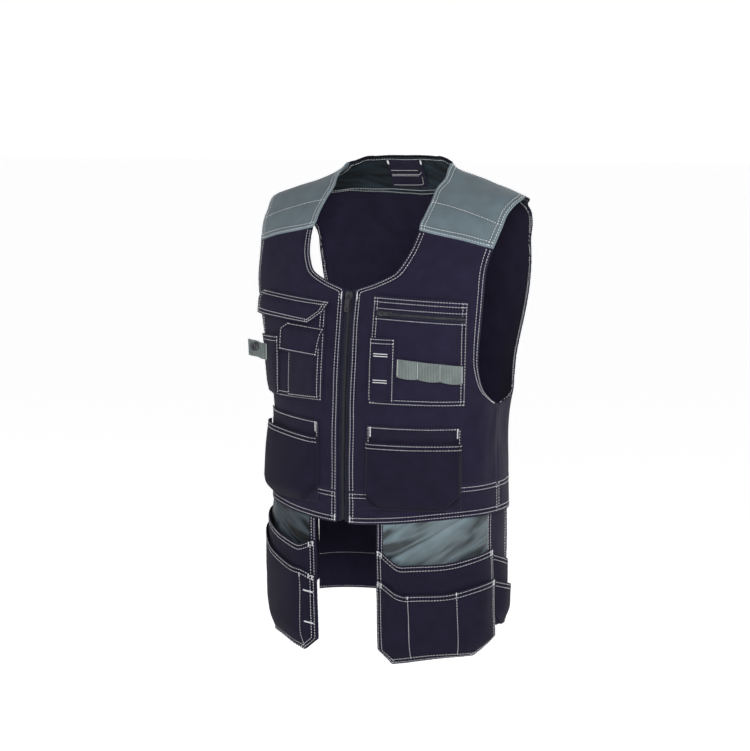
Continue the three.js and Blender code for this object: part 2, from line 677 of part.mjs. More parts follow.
function solidOf(geometry) {
  const bare = new THREE.BufferGeometry();
  const flat = geometry.index ? geometry.toNonIndexed() : geometry;
  bare.setAttribute("position", flat.getAttribute("position"));
  const merged = mergeVertices(bare, 1e-3);
  const mesh = new wasm.Mesh({
    numProp: 3,
    vertProperties: merged.attributes.position.array,
    triVerts: new Uint32Array(merged.index.array),
  });
  return new wasm.Manifold(mesh);
}
function geometryOf(solid) {
  const mesh = solid.getMesh();
  const geometry = new THREE.BufferGeometry();
  geometry.setAttribute("position", new THREE.BufferAttribute(mesh.vertProperties, 3));
  geometry.setIndex(new THREE.BufferAttribute(mesh.triVerts, 1));
  geometry.computeVertexNormals();
  return geometry;
}
// A box between two corners.
function block(low, high) {
  const size = high.map((v, i) => v - low[i]);
  const geometry = new THREE.BoxGeometry(...size);
  geometry.translate(...low.map((v, i) => v + size[i] / 2));
  return geometry;
}

const BAR_RADIUS = 0.8; // of the pull's cross bar
const BAR_CLEARANCE = 0.4;
const ARCH = 1.2; // the slider's arch, thickness
const ARCH_WIDTH = 2.4;

// A slider in its own frame: X across the zip, Y along it towards its closed end, Z out of the cloth.
// The bar of the pull turns under the arch.
function sliderGeometry({ width, length, height }) {
  const room = BAR_RADIUS + BAR_CLEARANCE;
  const plateTop = height / 2;
  const nose = new THREE.Shape([
    new THREE.Vector2(-width * 0.32, -length / 2),
    new THREE.Vector2(width * 0.32, -length / 2),
    new THREE.Vector2(width / 2, length * 0.12),
    new THREE.Vector2(width * 0.42, length / 2),
    new THREE.Vector2(-width * 0.42, length / 2),
    new THREE.Vector2(-width / 2, length * 0.12),
  ]);
  const plate = new THREE.ExtrudeGeometry(nose, { depth: height, bevelEnabled: false });
  plate.translate(0, 0, plateTop - height);
  const archTop = plateTop + 2 * room + ARCH;
  const half = room + ARCH;
  const arch = block([-ARCH_WIDTH / 2, -half, plateTop - ARCH / 2], [ARCH_WIDTH / 2, half, archTop]);
  const tunnel = block([-ARCH_WIDTH, -room, plateTop], [ARCH_WIDTH, room, archTop - ARCH]);
  return geometryOf(solidOf(plate).add(solidOf(arch).subtract(solidOf(tunnel))));
}
// The pull hangs from its cross bar, which lies on the local origin.
function pullGeometry({ pullLength, pullWidth }) {
  const eyeHalf = ARCH_WIDTH / 2 + BAR_CLEARANCE;
  const eyeReach = BAR_RADIUS + 2 * BAR_CLEARANCE + 2 * ARCH + 0.4;
  const thick = 2 * BAR_RADIUS;
  const plateShape = new THREE.Shape([
    new THREE.Vector2(-pullWidth * 0.36, BAR_RADIUS),
    new THREE.Vector2(-pullWidth * 0.36, -eyeReach),
    new THREE.Vector2(-pullWidth / 2, -eyeReach - 2),
    new THREE.Vector2(-pullWidth / 2, -pullLength + 2),
    new THREE.Vector2(-pullWidth * 0.3, -pullLength),
    new THREE.Vector2(pullWidth * 0.3, -pullLength),
    new THREE.Vector2(pullWidth / 2, -pullLength + 2),
    new THREE.Vector2(pullWidth / 2, -eyeReach - 2),
    new THREE.Vector2(pullWidth * 0.36, -eyeReach),
    new THREE.Vector2(pullWidth * 0.36, BAR_RADIUS),
  ]);
  const plate = new THREE.ExtrudeGeometry(plateShape, { depth: thick, bevelEnabled: false });
  plate.translate(0, 0, -thick / 2);
  const eye = block([-eyeHalf, -eyeReach, -thick], [eyeHalf, thick, thick]);
  const bar = new THREE.CylinderGeometry(BAR_RADIUS, BAR_RADIUS, pullWidth * 0.72, 10);
  bar.rotateZ(Math.PI / 2);
  return geometryOf(solidOf(plate).subtract(solidOf(eye)).add(solidOf(bar)));
}

// A group whose Z points out of the body at (length, z), and whose Y points along the given direction.
function frameOn(length, z, side, height, along) {
  const round = roundOf(length, z);
  const out = bodyNormal(round, z, side);
  const across = new THREE.Vector3().crossVectors(along, out).normalize();
  const up = new THREE.Vector3().crossVectors(out, across);
  const group = new THREE.Group();
  group.matrix.makeBasis(across, up, out).setPosition(over(round, z, side, height));
  group.matrix.decompose(group.position, group.quaternion, group.scale);
  vest.add(group);
  return group;
}

function addSlider(names, size, group) {
  addMesh(names.slider, sliderGeometry(size), materials.metal, group);
  const pull = addMesh(names.pull, pullGeometry(size), materials.metal, group);
  pull.position.set(0, 0, size.height / 2 + BAR_RADIUS + BAR_CLEARANCE);
}

function addMainSlider() {
  const z = zipTopZ - SLIDER.length / 2 - 3;
  const height = tapeHeight + TEETH_HEIGHT / 4 + TEETH_HEIGHT / 2 + SEAM + SLIDER.height / 2;
  const group = frameOn(0, z, LEFT, height, new THREE.Vector3(0, 0, 1));
  addSlider({ slider: "zip_slider", pull: "zip_pull" }, SLIDER, group);
}

// Pockets.

// Near and far ends of a piece at height z, where its lower corners are cut off.
function cutEnds({ near, far, cuts }, z, low) {
  if (!cuts) return [near, far];
  const taken = ({ wide, tall }) => wide * (1 - clamp((z - low) / tall, 0, 1));
  return [near + taken(cuts.near), far - taken(cuts.far)];
}

// The height of a row: a riser above the foot, the top edge itself, or a share of the way between them.
function riserZ(at, low, high, risers) {
  if (at === null) return high;
  return risers ? low + at : mix(low, high, at);
}

// A pouch sewn on along its sides and foot and open at its top. stand gives the height of its
// mid-surface over the body at its seams, and depth how far it stands off inside them.
function pouchGrid(options) {
  const { side, near, far, topZ, bottomZ } = options;
  const { stand, depth, edge = 14, foot = 20, mouth = 1, columns = 8, rows = 5, risers } = options;
  const acrossShares = shares(columns).map((c) => mix(c, (1 - Math.cos(c * Math.PI)) / 2, 0.6));
  const levels = risers ? [...risers, null] : shares(rows).map((t) => t ** 1.35);
  return levels.map((at) =>
    acrossShares.map((c) => {
      const mid = mix(near, far, c);
      const [low, high] = [bottomZ(mid), topZ(mid)];
      const z = riserZ(at, low, high, risers);
      const t = (z - low) / (high - low);
      const [from, to] = cutEnds(options, z, low);
      const length = mix(from, to, c);
      const rim = Math.min(length - from, to - length);
      const bulge = roundOff(rim, edge) * roundOff(z - low, foot) * mix(1, mouth, t ** 1.5);
      return overLength(length, z, side, stand + depth * bulge);
    }),
  );
}

const onShell = SHELL / 2 + GAP + PATCH_CLOTH / 2;
const above = (under) => under + PATCH_CLOTH + GAP;
const level = (drop) => () => -drop;
// The top edge of a pocket or flap, which may slope to its far end.
const slopingTop = ({ near, far, top, slope }) => (length) =>
  -top - (slope * (length - near)) / (far - near);

function chestPouch(side, pocket, stand, look) {
  const { near, far, bottom, depth } = pocket;
  const topZ = slopingTop(pocket);
  return pouchGrid({ side, near, far, topZ, bottomZ: level(bottom), stand, depth, ...look });
}

// A flap sewn on along its top line, lying over what is under it.
function flapGrid(side, flap, outline, low, high, columns) {
  const topZ = slopingTop(flap);
  const width = flap.far - flap.near;
  return outline.map((row) =>
    shares(columns).map((c) => {
      const length = flap.near + width * mix(row.near, row.far, c);
      const z = topZ(length) - flap.drop * row.down;
      return overLength(length, z, side, mix(low, high, row.lift));
    }),
  );
}

function addRightChest() {
  const side = RIGHT;
  const pocket = chestPouch(side, CHEST_RIGHT, onShell, { foot: 14, columns: 10, rows: 6 });
  addMesh("chest_pocket_right", sheet(pocket, PATCH_CLOTH), materials.navy);
  const onPocket = above(onShell) + CHEST_RIGHT.depth;
  const small = { edge: 10, foot: 16, columns: 6, rows: 4 };
  const phone = chestPouch(side, PHONE_POUCH, onPocket, small);
  addMesh("phone_pouch", sheet(phone, PATCH_CLOTH), materials.navyDark);
  const pens = chestPouch(side, PEN_POUCH, onPocket, small);
  addMesh("pen_pouch", sheet(pens, PATCH_CLOTH), materials.navyDark);
  const overPhone = above(onPocket) + PHONE_POUCH.depth + PHONE_FLAP.stand;
  const phoneFlap = flapGrid(side, PHONE_FLAP, PHONE_FLAP_OUTLINE, onPocket, overPhone, 6);
  addMesh("phone_flap", sheet(phoneFlap, PATCH_CLOTH), materials.navy);
  const overPocket = onPocket + CHEST_FLAP.stand;
  const flap = flapGrid(side, CHEST_FLAP, CHEST_FLAP_OUTLINE, onShell, overPocket, 10);
  addMesh("chest_flap", sheet(flap, PATCH_CLOTH), materials.navy);
}

function addLeftChest() {
  const side = LEFT;
  const pocket = chestPouch(side, CHEST_LEFT, onShell, { foot: 14, columns: 10, rows: 6 });
  addMesh("chest_pocket_left", sheet(pocket, PATCH_CLOTH), materials.navy);
  const onPocket = above(onShell) + CHEST_LEFT.depth;
  const strip = chestPouch(side, PEN_STRIP, onPocket, { edge: 8, foot: 12, columns: 4, rows: 4 });
  addMesh("pen_strip", sheet(strip, PATCH_CLOTH), materials.navy);
  const cellSteps = 4;
  const topZ = slopingTop(WEBBING);
  const seamHeight = onPocket - (PATCH_CLOTH - WEBBING.cloth) / 2 - (GAP - SEAM);
  const loops = shares(1).map((t) =>
    shares(WEBBING.cells * cellSteps).map((c) => {
      const length = mix(WEBBING.near, WEBBING.far, c);
      const arch = Math.abs(Math.sin(c * WEBBING.cells * Math.PI));
      const z = topZ(length) - WEBBING.height * t;
      return overLength(length, z, side, seamHeight + WEBBING.bulge * arch);
    }),
  );
  addMesh("webbing_loops", sheet(loops, WEBBING.cloth), materials.webbing);
  addPocketZip(side);
}

function addPocketZip(side) {
  const lowest = onShell + CHEST_LEFT.depth + PATCH_CLOTH / 2 + GAP;
  const { near, far, drop: top, slope } = POCKET_ZIP;
  const zipZ = slopingTop({ near, far, top, slope });
  const columns = shares(8).map((c) => mix(POCKET_ZIP.near, POCKET_ZIP.far, c));
  const strip = (width, height, thick) =>
    sheet(
      [-width / 2, width / 2].map((up) =>
        columns.map((length) => overLength(length, zipZ(length) + up, side, height + thick / 2)),
      ),
      thick,
    );
  addMesh("pocket_zip_tape", strip(POCKET_ZIP.width, lowest, TAPE_CLOTH), materials.zip);
  const teethFoot = lowest + TAPE_CLOTH + SEAM;
  addMesh("pocket_zip_teeth", strip(POCKET_ZIP.teeth, teethFoot, POCKET_ZIP.height), materials.metal);
  const length = POCKET_ZIP.near + POCKET_SLIDER.length;
  const z = zipZ(length);
  const height = teethFoot + POCKET_ZIP.height + SEAM + POCKET_SLIDER.height / 2;
  const round = roundOf(length, z);
  const across = bodyPoint(round - 0.01, z, side).sub(bodyPoint(round + 0.01, z, side)).normalize();
  const group = frameOn(length, z, side, height, across);
  addSlider({ slider: "pocket_slider", pull: "pocket_pull" }, POCKET_SLIDER, group);
}

function addSnapTab() {
  const side = RIGHT;
  const { at, drop, height, foot, reach, fall, cloth: thick } = SNAP_TAB;
  const base = above(above(onShell)) + CHEST_RIGHT.depth + PEN_POUCH.depth;
  const out = bodyNormal(roundOf(at, -drop), -drop, side).setZ(0).normalize();
  const grid = shares(2).map((t) => {
    const z = -drop + height * (t - 0.5);
    const sewn = shares(2).map((c) => overLength(mix(at - foot, at - 3, c), z, side, base));
    const root = overLength(at, z, side, base + 2);
    const free = shares(3).map((c) => {
      const step = 2 + (reach - 2) * c;
      return root.clone().addScaledVector(out, step).setZ(z + fall * c);
    });
    return [...sewn, ...free];
  });
  addMesh("snap_tab", sheet(grid, thick), materials.webbing);
  const middle = grid[1].at(-1).clone().addScaledVector(out, SNAP.out - reach);
  const profile = [
    [0, 0],
    [SNAP.radius, 0],
    [SNAP.radius, SNAP.height * 0.6],
    [SNAP.radius * 0.86, SNAP.height],
    [SNAP.radius * 0.5, SNAP.height],
    [SNAP.radius * 0.4, SNAP.height * 0.6],
    [0, SNAP.height * 0.6],
  ].map(([x, y]) => new THREE.Vector2(x, y));
  const snap = new THREE.LatheGeometry(profile, 16);
  const faceOut = new THREE.Vector3().crossVectors(out, new THREE.Vector3(0, 0, 1)).negate();
  const group = new THREE.Group();
  group.quaternion.setFromUnitVectors(new THREE.Vector3(0, 1, 0), faceOut);
  group.position.copy(middle).addScaledVector(faceOut, thick / 2 + SEAM);
  vest.add(group);
  addMesh("snap", facingOut(mergeVertices(bareOf(snap), 1e-3)), materials.metal, group);
}

function bareOf(geometry) {
  const bare = new THREE.BufferGeometry();
  bare.setAttribute("position", geometry.getAttribute("position"));
  bare.setIndex(geometry.index);
  return bare;
}

function addLowerPocket(name, side, { near, far, slope, depth }) {
  const base = onShell + (BAND_SHELL - SHELL) / 2;
  const backTop = slopingTop({ near, far, top: LOWER_BACK.top, slope });
  const back = shares(4).map((t) =>
    shares(8).map((c) => {
      const length = mix(near, far, c);
      return overLength(length, mix(-LOWER_BACK.bottom, backTop(length), t), side, base);
    }),
  );
  addMesh(`${name}_back`, sheet(back, PATCH_CLOTH), materials.navyDark);
  const { top, bottom, cut, edge, mouth } = LOWER_POUCH;
  const corner = { wide: cut, tall: cut };
  const pouch = pouchGrid({
    side,
    near,
    far,
    cuts: { near: corner, far: corner },
    topZ: slopingTop({ near, far, top, slope: slope * 1.5 }),
    bottomZ: level(bottom),
    stand: above(base),
    depth,
    edge,
    mouth,
    columns: 10,
    rows: 7,
  });
  addMesh(`${name}_pouch`, sheet(pouch, PATCH_CLOTH), materials.navy);
}

// Holsters that hang from behind the waist band.
const hangHeight = -(BAND_SHELL / 2 + GAP + PATCH_CLOTH / 2);
const sagging = (drop, { near, far }) => (length) => {
  const share = (length - near) / (far - near);
  const fall = mix(drop.near, drop.middle, smooth(share * drop.steep));
  return hemZ(length) - mix(fall, drop.far, smooth((share - drop.rise) / (1 - drop.rise)));
};

function backingGrid(side, holster, cuts, height, columns, risers) {
  const { near, far, length } = holster;
  const levels = [...risers, null];
  levels.splice(-1, 0, mix(risers.at(-1), length, 0.5));
  return levels.map((at) =>
    shares(columns).map((c) => {
      const mid = mix(near, far, c);
      const low = hemZ(mid) - length;
      const z = riserZ(at, low, hemZ(mid) + TUCK, risers);
      const [from, to] = cutEnds({ near, far, cuts }, z, low);
      return overLength(mix(from, to, c), z, side, height);
    }),
  );
}

// How a holster pouch rounds off to its seams, and the rows and columns that draw it.
const FRONT_HOLSTER_LOOK = { edge: 45, foot: 34, columns: 10, risers: FRONT_RISERS };
const SIDE_HOLSTER_LOOK = { edge: 30, foot: 34, columns: 6, risers: SIDE_RISERS };

function addFrontHolster(name, side, holster, cuts, mouths) {
  const { near, far, length } = holster;
  const backing = backingGrid(side, holster, cuts, hangHeight, FRONT_HOLSTER_LOOK.columns, FRONT_RISERS);
  addMesh(`${name}_backing`, sheet(backing, PATCH_CLOTH), materials.navy);
  const liningHeight = hangHeight + PATCH_CLOTH / 2 + GAP + LINING_CLOTH / 2;
  const lining = shares(2).map((t) =>
    shares(8).map((c) => {
      const at = mix(near + HOLSTER_LINING.inset, far - HOLSTER_LINING.inset, c);
      const z = hemZ(at) - mix(HOLSTER_LINING.bottom, HOLSTER_LINING.top, t);
      return overLength(at, z, side, liningHeight);
    }),
  );
  addMesh(`${name}_lining`, sheet(lining, LINING_CLOTH), materials.satin);
  const onBacking = hangHeight + PATCH_CLOTH + GAP;
  const shape = { side, near, far, cuts, bottomZ: (at) => hemZ(at) - length };
  const pouch = (drop, stand, depth) =>
    pouchGrid({ ...shape, ...FRONT_HOLSTER_LOOK, topZ: sagging(drop, holster), stand, depth });
  const upper = pouch(mouths.upper, onBacking, UPPER_POUCH_DEPTH);
  addMesh(`${name}_upper_pouch`, sheet(upper, PATCH_CLOTH), materials.navy);
  const lower = pouch(mouths.lower, above(onBacking), LOWER_POUCH_DEPTH);
  addMesh(`${name}_lower_pouch`, sheet(lower, PATCH_CLOTH), materials.navy);
}

function addSideHolster(name, side) {
  const { far, length } = SIDE_HOLSTER;
  const near = SIDE_POUCH.near;
  const height = hangHeight - PATCH_CLOTH - GAP;
  const backing = backingGrid(side, SIDE_HOLSTER, SIDE_CUTS, height, SIDE_HOLSTER_LOOK.columns, SIDE_RISERS);
  addMesh(`${name}_backing`, sheet(backing, PATCH_CLOTH), materials.navy);
  const slanted = ({ top, slant }) => (at) => hemZ(at) - top - (slant * (at - near)) / (far - near);
  const shape = { side, near, far, cuts: SIDE_CUTS, bottomZ: (at) => hemZ(at) - length };
  const pouch = (mouth, stand, depth) =>
    pouchGrid({ ...shape, ...SIDE_HOLSTER_LOOK, topZ: slanted(mouth), stand, depth });
  const upper = pouch(SIDE_POUCH, above(height), SIDE_POUCH.depth);
  addMesh(`${name}_upper_pouch`, sheet(upper, PATCH_CLOTH), materials.navy);
  const lowerDepth = SIDE_POUCH.depth + SIDE_LOWER_POUCH.depth;
  const lower = pouch(SIDE_LOWER_POUCH, above(above(height)), lowerDepth);
  addMesh(`${name}_lower_pouch`, sheet(lower, PATCH_CLOTH), materials.navy);
}

function addTail() {
  const waistZ = hemZ(CHEST_WIDTH);
  const edge = roundOf(TAIL_EDGE, waistZ);
  const edges = {
    bottom: (c) => [mix(2, edge, c), waistZ - TAIL_LENGTH],
    top: (c) => [mix(2, edge, c), waistZ + TUCK],
    left: (t) => [2, mix(waistZ - TAIL_LENGTH, waistZ + TUCK, t)],
    right: (t) => [edge, mix(waistZ - TAIL_LENGTH, waistZ + TUCK, t)],
  };
  const grid = spanBack(edges, shares(3), shares(8), () => hangHeight);
  addMesh("tail", sheet(grid, PATCH_CLOTH), materials.navy);
}

addFrontPanel("front_left", LEFT);
addFrontPanel("front_right", RIGHT);
addBack();
addBands();
addShoulderYoke("shoulder_yoke_left", LEFT);
addShoulderYoke("shoulder_yoke_right", RIGHT);
addNeckFacing();
addFrontZip();
addMainSlider();
addRightChest();
addSnapTab();
addLeftChest();
addLowerPocket("lower_pocket_left", LEFT, LOWER_SIDES.left);
addLowerPocket("lower_pocket_right", RIGHT, LOWER_SIDES.right);
for (const [name, side] of [["left", LEFT], ["right", RIGHT]]) {
  const [holster, cuts, mouths] = [HOLSTERS[name], HOLSTER_CUTS[name], HOLSTER_MOUTHS[name]];
  addFrontHolster(`front_holster_${name}`, side, holster, cuts, mouths);
}
addSideHolster("side_holster_left", LEFT);
addSideHolster("side_holster_right", RIGHT);
addTail();

export default vest;
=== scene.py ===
import itertools
import math
import bmesh
import bpy
import numpy as np
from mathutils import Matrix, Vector
from mathutils.bvhtree import BVHTree
from mathutils.kdtree import KDTree


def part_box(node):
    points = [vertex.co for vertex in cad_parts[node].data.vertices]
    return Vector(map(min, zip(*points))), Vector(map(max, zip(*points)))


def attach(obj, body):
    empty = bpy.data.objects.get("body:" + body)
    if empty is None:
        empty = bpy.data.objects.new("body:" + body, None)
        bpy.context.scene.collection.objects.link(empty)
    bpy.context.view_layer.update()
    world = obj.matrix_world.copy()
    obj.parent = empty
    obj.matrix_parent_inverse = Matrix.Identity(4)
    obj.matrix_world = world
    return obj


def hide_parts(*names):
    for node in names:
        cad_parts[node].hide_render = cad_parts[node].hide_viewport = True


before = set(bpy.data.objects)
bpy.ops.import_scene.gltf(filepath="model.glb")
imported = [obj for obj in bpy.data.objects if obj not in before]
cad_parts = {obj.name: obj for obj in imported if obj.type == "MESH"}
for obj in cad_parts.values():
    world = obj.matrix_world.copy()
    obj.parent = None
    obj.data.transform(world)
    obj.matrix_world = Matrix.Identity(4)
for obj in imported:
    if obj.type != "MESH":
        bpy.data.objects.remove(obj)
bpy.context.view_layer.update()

# Lengths are in millimetres until a mesh is made, and repeat the part's own sizes.
BODY_LENGTH = 517
CHEST_WIDTH = 462
CHEST_DEPTH = 266
NECK_WIDTH = 212
NECK_DEPTH = 155
NECK_POINT_RISE = 37.3
BACK_NECK_RISE = 49
TIP_DROP = 13
UNDERARM_DROP = 331
HEM_DIP = 17
BAND_HEIGHT = 49
TAIL_LENGTH = 181
SHELL, BAND_SHELL, PATCH, LINING, TAPE = 2.0, 2.4, 1.6, 1.0, 1.0
GAP, SEAM = 0.8, 0.4
ZIP_HALF = 11
LEFT, RIGHT = 1, -1

# drop, width, front, side, back, square
SECTIONS = np.array([
    (-0.122, 0.158, -0.106, 0.12, 0.336, 2),
    (-0.09, 0.385, -0.085, 0.14, 0.431, 2),
    (-0.058, 0.452, -0.066, 0.21, 0.538, 2.1),
    (-0.015, 0.71, -0.125, 0.29, 0.67, 2.1),
    (0.026, 0.99, -0.25, 0.165, 0.735, 2.2),
    (0.084, 1.077, -0.457, 0.118, 0.855, 2.35),
    (0.17, 1.084, -0.658, 0.1, 0.963, 2.5),
    (0.271, 1.057, -0.822, 0.084, 1.045, 2.5),
    (0.3675, 1.015, -0.892, 0.088, 1.11, 2.5),
    (0.522, 0.916, -0.959, 0.047, 1.094, 2.5),
    (0.667, 0.85, -0.995, 0.014, 1.03, 2.45),
    (0.832, 0.856, -1.012, 0.004, 0.978, 2.4),
    (1.021, 0.861, -1.015, 0.008, 0.977, 2.4),
    (1.238, 0.861, -0.985, 0.008, 0.962, 2.4),
    (1.547, 0.861, -0.932, 0.008, 0.932, 2.4),
])
# fall, front, back
ARMHOLE = [
    (0, 0, 0),
    (0.03, 0.165, 0.33),
    (0.09, 0.296, 0.425),
    (0.2, 0.432, 0.577),
    (0.32, 0.536, 0.639),
    (0.46, 0.575, 0.68),
    (0.61, 0.572, 0.705),
    (0.73, 0.531, 0.695),
    (0.84, 0.459, 0.665),
    (0.93, 0.33, 0.575),
    (0.985, 0.134, 0.3),
    (1, 0, 0),
]
# reach, depth
NECKLINE = [
    (0.17, 0.985),
    (0.42, 0.93),
    (0.695, 0.84),
    (0.817, 0.73),
    (0.899, 0.59),
    (0.944, 0.41),
    (0.932, 0.3),
    (0.917, 0),
]
# round, rise
BACK_NECKLINE = np.array([(0, 0), (0.14, 0.32), (0.28, 0.9), (0.42, 0.92), (0.56, 0.99), (1, 1)])
# side, round, drop, lean, long, wide, high
FOLDS = [
    (1, 0.88, 0.74, 5, 0.13, 0.05, 0.011),
    (1, 1.12, 0.73, -6, 0.15, 0.055, -0.01),
    (-1, 0.92, 0.76, 6, 0.12, 0.055, 0.009),
    (1, 1.5, 0.7, 4, 0.2, 0.07, 0.014),
    (-1, 1.52, 0.66, -4, 0.22, 0.07, 0.014),
    (-1, 1.3, 0.45, 3, 0.2, 0.07, -0.012),
    (1, 1.32, 0.42, -3, 0.2, 0.07, -0.012),
]
# Small wrinkles in millimetres: side, length round the body, z, tilt in degrees, half length, half width
# and height.
WRINKLES = [
    (-1, 34, -352, 62, 34, 7, 1.1),
    (-1, 30, -420, 70, 40, 6, -0.9),
    (-1, 62, -345, 12, 40, 7, 1.1),
    (-1, 120, -344, -6, 45, 7, 0.9),
    (1, 34, -360, -66, 36, 7, 0.9),
    (1, 120, -345, 5, 60, 7, 0.9),
    (1, 222, -360, 78, 50, 8, 1.5),
    (1, 243, -385, 84, 46, 8, -1.3),
    (1, 262, -370, 80, 40, 7, 1.2),
    (1, 214, -300, 82, 46, 7, 0.8),
    (-1, 214, -360, 80, 48, 8, 1.4),
    (-1, 236, -390, 84, 40, 8, -1.1),
    (1, 120, -120, -38, 52, 12, 0.8),
    (1, 178, -130, -50, 46, 11, -0.7),
    (-1, 130, -125, -34, 50, 12, 0.8),
    (1, 105, -455, 3, 60, 6, 0.6),
]
rng = np.random.default_rng(7)


def mix(a, b, t):
    return a + (b - a) * t


def smooth(t):
    t = np.clip(t, 0, 1)
    return t * t * (3 - 2 * t)


def round_off(distance, radius):
    return np.sin(np.clip(distance / radius, 0, 1) * np.pi / 2)


def table(rows, x):
    """Smooth values of every column at x, by the first column, as the part's tables are read."""
    keys = rows[:, 0]
    step = np.diff(keys)[:, None]
    slope = np.diff(rows, axis=0) / step
    tangent = np.vstack([slope[:1], (slope[1:] * step[:-1] + slope[:-1] * step[1:]) / (step[1:] + step[:-1]),
                         slope[-1:]])
    x = np.clip(np.atleast_1d(x).astype(float), keys[0], keys[-1])
    i = np.clip(np.searchsorted(keys, x, side="left") - 1, 0, len(keys) - 2)
    h = step[i]
    t = ((x - keys[i]) / h[:, 0])[:, None]
    return (
        (2 * t**3 - 3 * t**2 + 1) * rows[i]
        + (t**3 - 2 * t**2 + t) * h * tangent[i]
        + (3 * t**2 - 2 * t**3) * rows[i + 1]
        + (t**3 - t**2) * h * tangent[i + 1]
    )


# The body surface as lookup tables over height and the way round.
Z_LOW, Z_STEP, ROUND_STEPS = -790.0, 2.0, 240
ZS = np.arange(Z_LOW, 64, Z_STEP)
ROUNDS = np.linspace(0, 2, ROUND_STEPS + 1)


def build_surface():
    rows = table(SECTIONS, -ZS / BODY_LENGTH)
    angle = np.linspace(0, np.pi, 361)
    sine, cosine = np.abs(np.sin(angle)), np.cos(angle)
    xs, ys, quarters, halves, sides = [], [], [], [], []
    for _, width, front, side, back, square in rows:
        half_width = width * CHEST_WIDTH / 2
        front, side, back = (v * CHEST_DEPTH / 2 for v in (front, side, back))
        power = 2 / square
        depth = np.where(cosine >= 0, side - front, back - side)
        x = half_width * sine**power
        y = side - np.sign(cosine) * depth * np.abs(cosine) ** power
        length = np.concatenate([[0], np.cumsum(np.hypot(np.diff(x), np.diff(y)))])
        quarter, half = length[180], length[-1]
        way = np.where(length <= quarter, length / quarter, 1 + (length - quarter) / (half - quarter))
        xs.append(np.interp(ROUNDS, way, x))
        ys.append(np.interp(ROUNDS, way, y))
        quarters.append(quarter)
        halves.append(half)
        sides.append(side)
    return np.array(xs), np.array(ys), np.array(quarters), np.array(halves), np.array(sides)


SURF_X, SURF_Y, QUARTERS, HALVES, SIDES = build_surface()
points = np.stack([SURF_X, SURF_Y, np.repeat(ZS[:, None], ROUND_STEPS + 1, 1)], -1)
up, across = np.gradient(points, axis=0), np.gradient(points, axis=1)
NORMALS = np.cross(across, up)
NORMALS[:, (0, -1), 0] = 0
NORMALS /= np.linalg.norm(NORMALS, axis=-1, keepdims=True)


def sample(field, way, z):
    i = np.clip((z - Z_LOW) / Z_STEP, 0, len(ZS) - 1.001)
    j = np.clip(way * ROUND_STEPS / 2, 0, ROUND_STEPS - 0.001)
    a, b = i.astype(int), j.astype(int)
    u, v = i - a, j - b
    if field.ndim == 3:
        u, v = u[..., None], v[..., None]
    return mix(mix(field[a, b], field[a + 1, b], u), mix(field[a, b + 1], field[a + 1, b + 1], u), v)


def quarter_at(z):
    return np.interp(z, ZS, QUARTERS)


def half_at(z):
    return np.interp(z, ZS, HALVES)


def side_at(z):
    return np.interp(z, ZS, SIDES)


def length_of(way, z):
    q, h = quarter_at(z), half_at(z)
    return np.where(way <= 1, way * q, q + (way - 1) * (h - q))


def way_of(length, z):
    q, h = quarter_at(z), half_at(z)
    return np.where(length <= q, length / q, 1 + (length - q) / (h - q))


def way_at_x(x, z):
    i = int(round((z - Z_LOW) / Z_STEP))
    half = ROUND_STEPS // 2 + 1
    return float(np.interp(x, SURF_X[i, :half], ROUNDS[:half]))


def way_at_y(y, z):
    i = int(round((z - Z_LOW) / Z_STEP))
    return float(np.interp(y, SURF_Y[i], ROUNDS))


def ridge(along, off, long, wide, high):
    return high * np.exp(-((along / long) ** 2) - (off / wide) ** 2)


def fold_height(way, z, side):
    """Folds of the part, its small wrinkles, and a soft unevenness that is mirrored nowhere."""
    height = np.zeros(np.broadcast(way, z, side).shape)
    length = length_of(way, z)
    for s, way0, drop, lean, long, wide, high in FOLDS:
        dx = length - length_of(way0, z)
        dz = z + drop * BODY_LENGTH
        tilt = math.atan(lean)
        along = dx * math.cos(tilt) + dz * math.sin(tilt)
        off = dz * math.cos(tilt) - dx * math.sin(tilt)
        value = ridge(along, off, long * CHEST_WIDTH, wide * CHEST_WIDTH, high * CHEST_WIDTH)
        height += np.where(side == s, value, 0)
    for s, s0, z0, tilt, long, wide, high in WRINKLES:
        dx, dz, t = length - s0, z - z0, math.radians(tilt)
        along, off = dx * math.cos(t) + dz * math.sin(t), dz * math.cos(t) - dx * math.sin(t)
        bent = off + 0.0035 * along**2
        height += np.where(side == s, ridge(along, bent, long, wide, high), 0)
    x = length * side
    height += 0.45 * np.sin(x / 19 + z / 43 + 1.1) * np.sin(z / 31 - x / 67) + 0.3 * np.sin(x / 11 - z / 17)
    return height


def over(way, z, side, height):
    way, z, side, height = np.broadcast_arrays(way, z, side, height)
    way, z = way.astype(float), z.astype(float)
    n = sample(NORMALS, way, z).copy()
    p = np.stack([sample(SURF_X, way, z) * side, sample(SURF_Y, way, z), z], -1)
    n[..., 0] *= side
    n /= np.linalg.norm(n, axis=-1, keepdims=True)
    return p + n * (height + fold_height(way, z, side))[..., None]


def over_length(length, z, side, height):
    return over(way_of(length, z), z, side, height)


# Edges of the garment.
def hem_z(length):
    return -BODY_LENGTH + HEM_DIP * smooth(np.asarray(length) / (0.46 * CHEST_WIDTH))


def band_top_z(length):
    return hem_z(length) + BAND_HEIGHT


TIP_Z, UNDERARM_Z, ZIP_TOP_Z = -TIP_DROP, -UNDERARM_DROP, -NECK_DEPTH
SIDE_BOTTOM_Z = float(band_top_z(CHEST_WIDTH)) + SEAM
SHOULDER_SEAM = SEAM / CHEST_DEPTH * 2
YOKE_BEHIND = 0.035


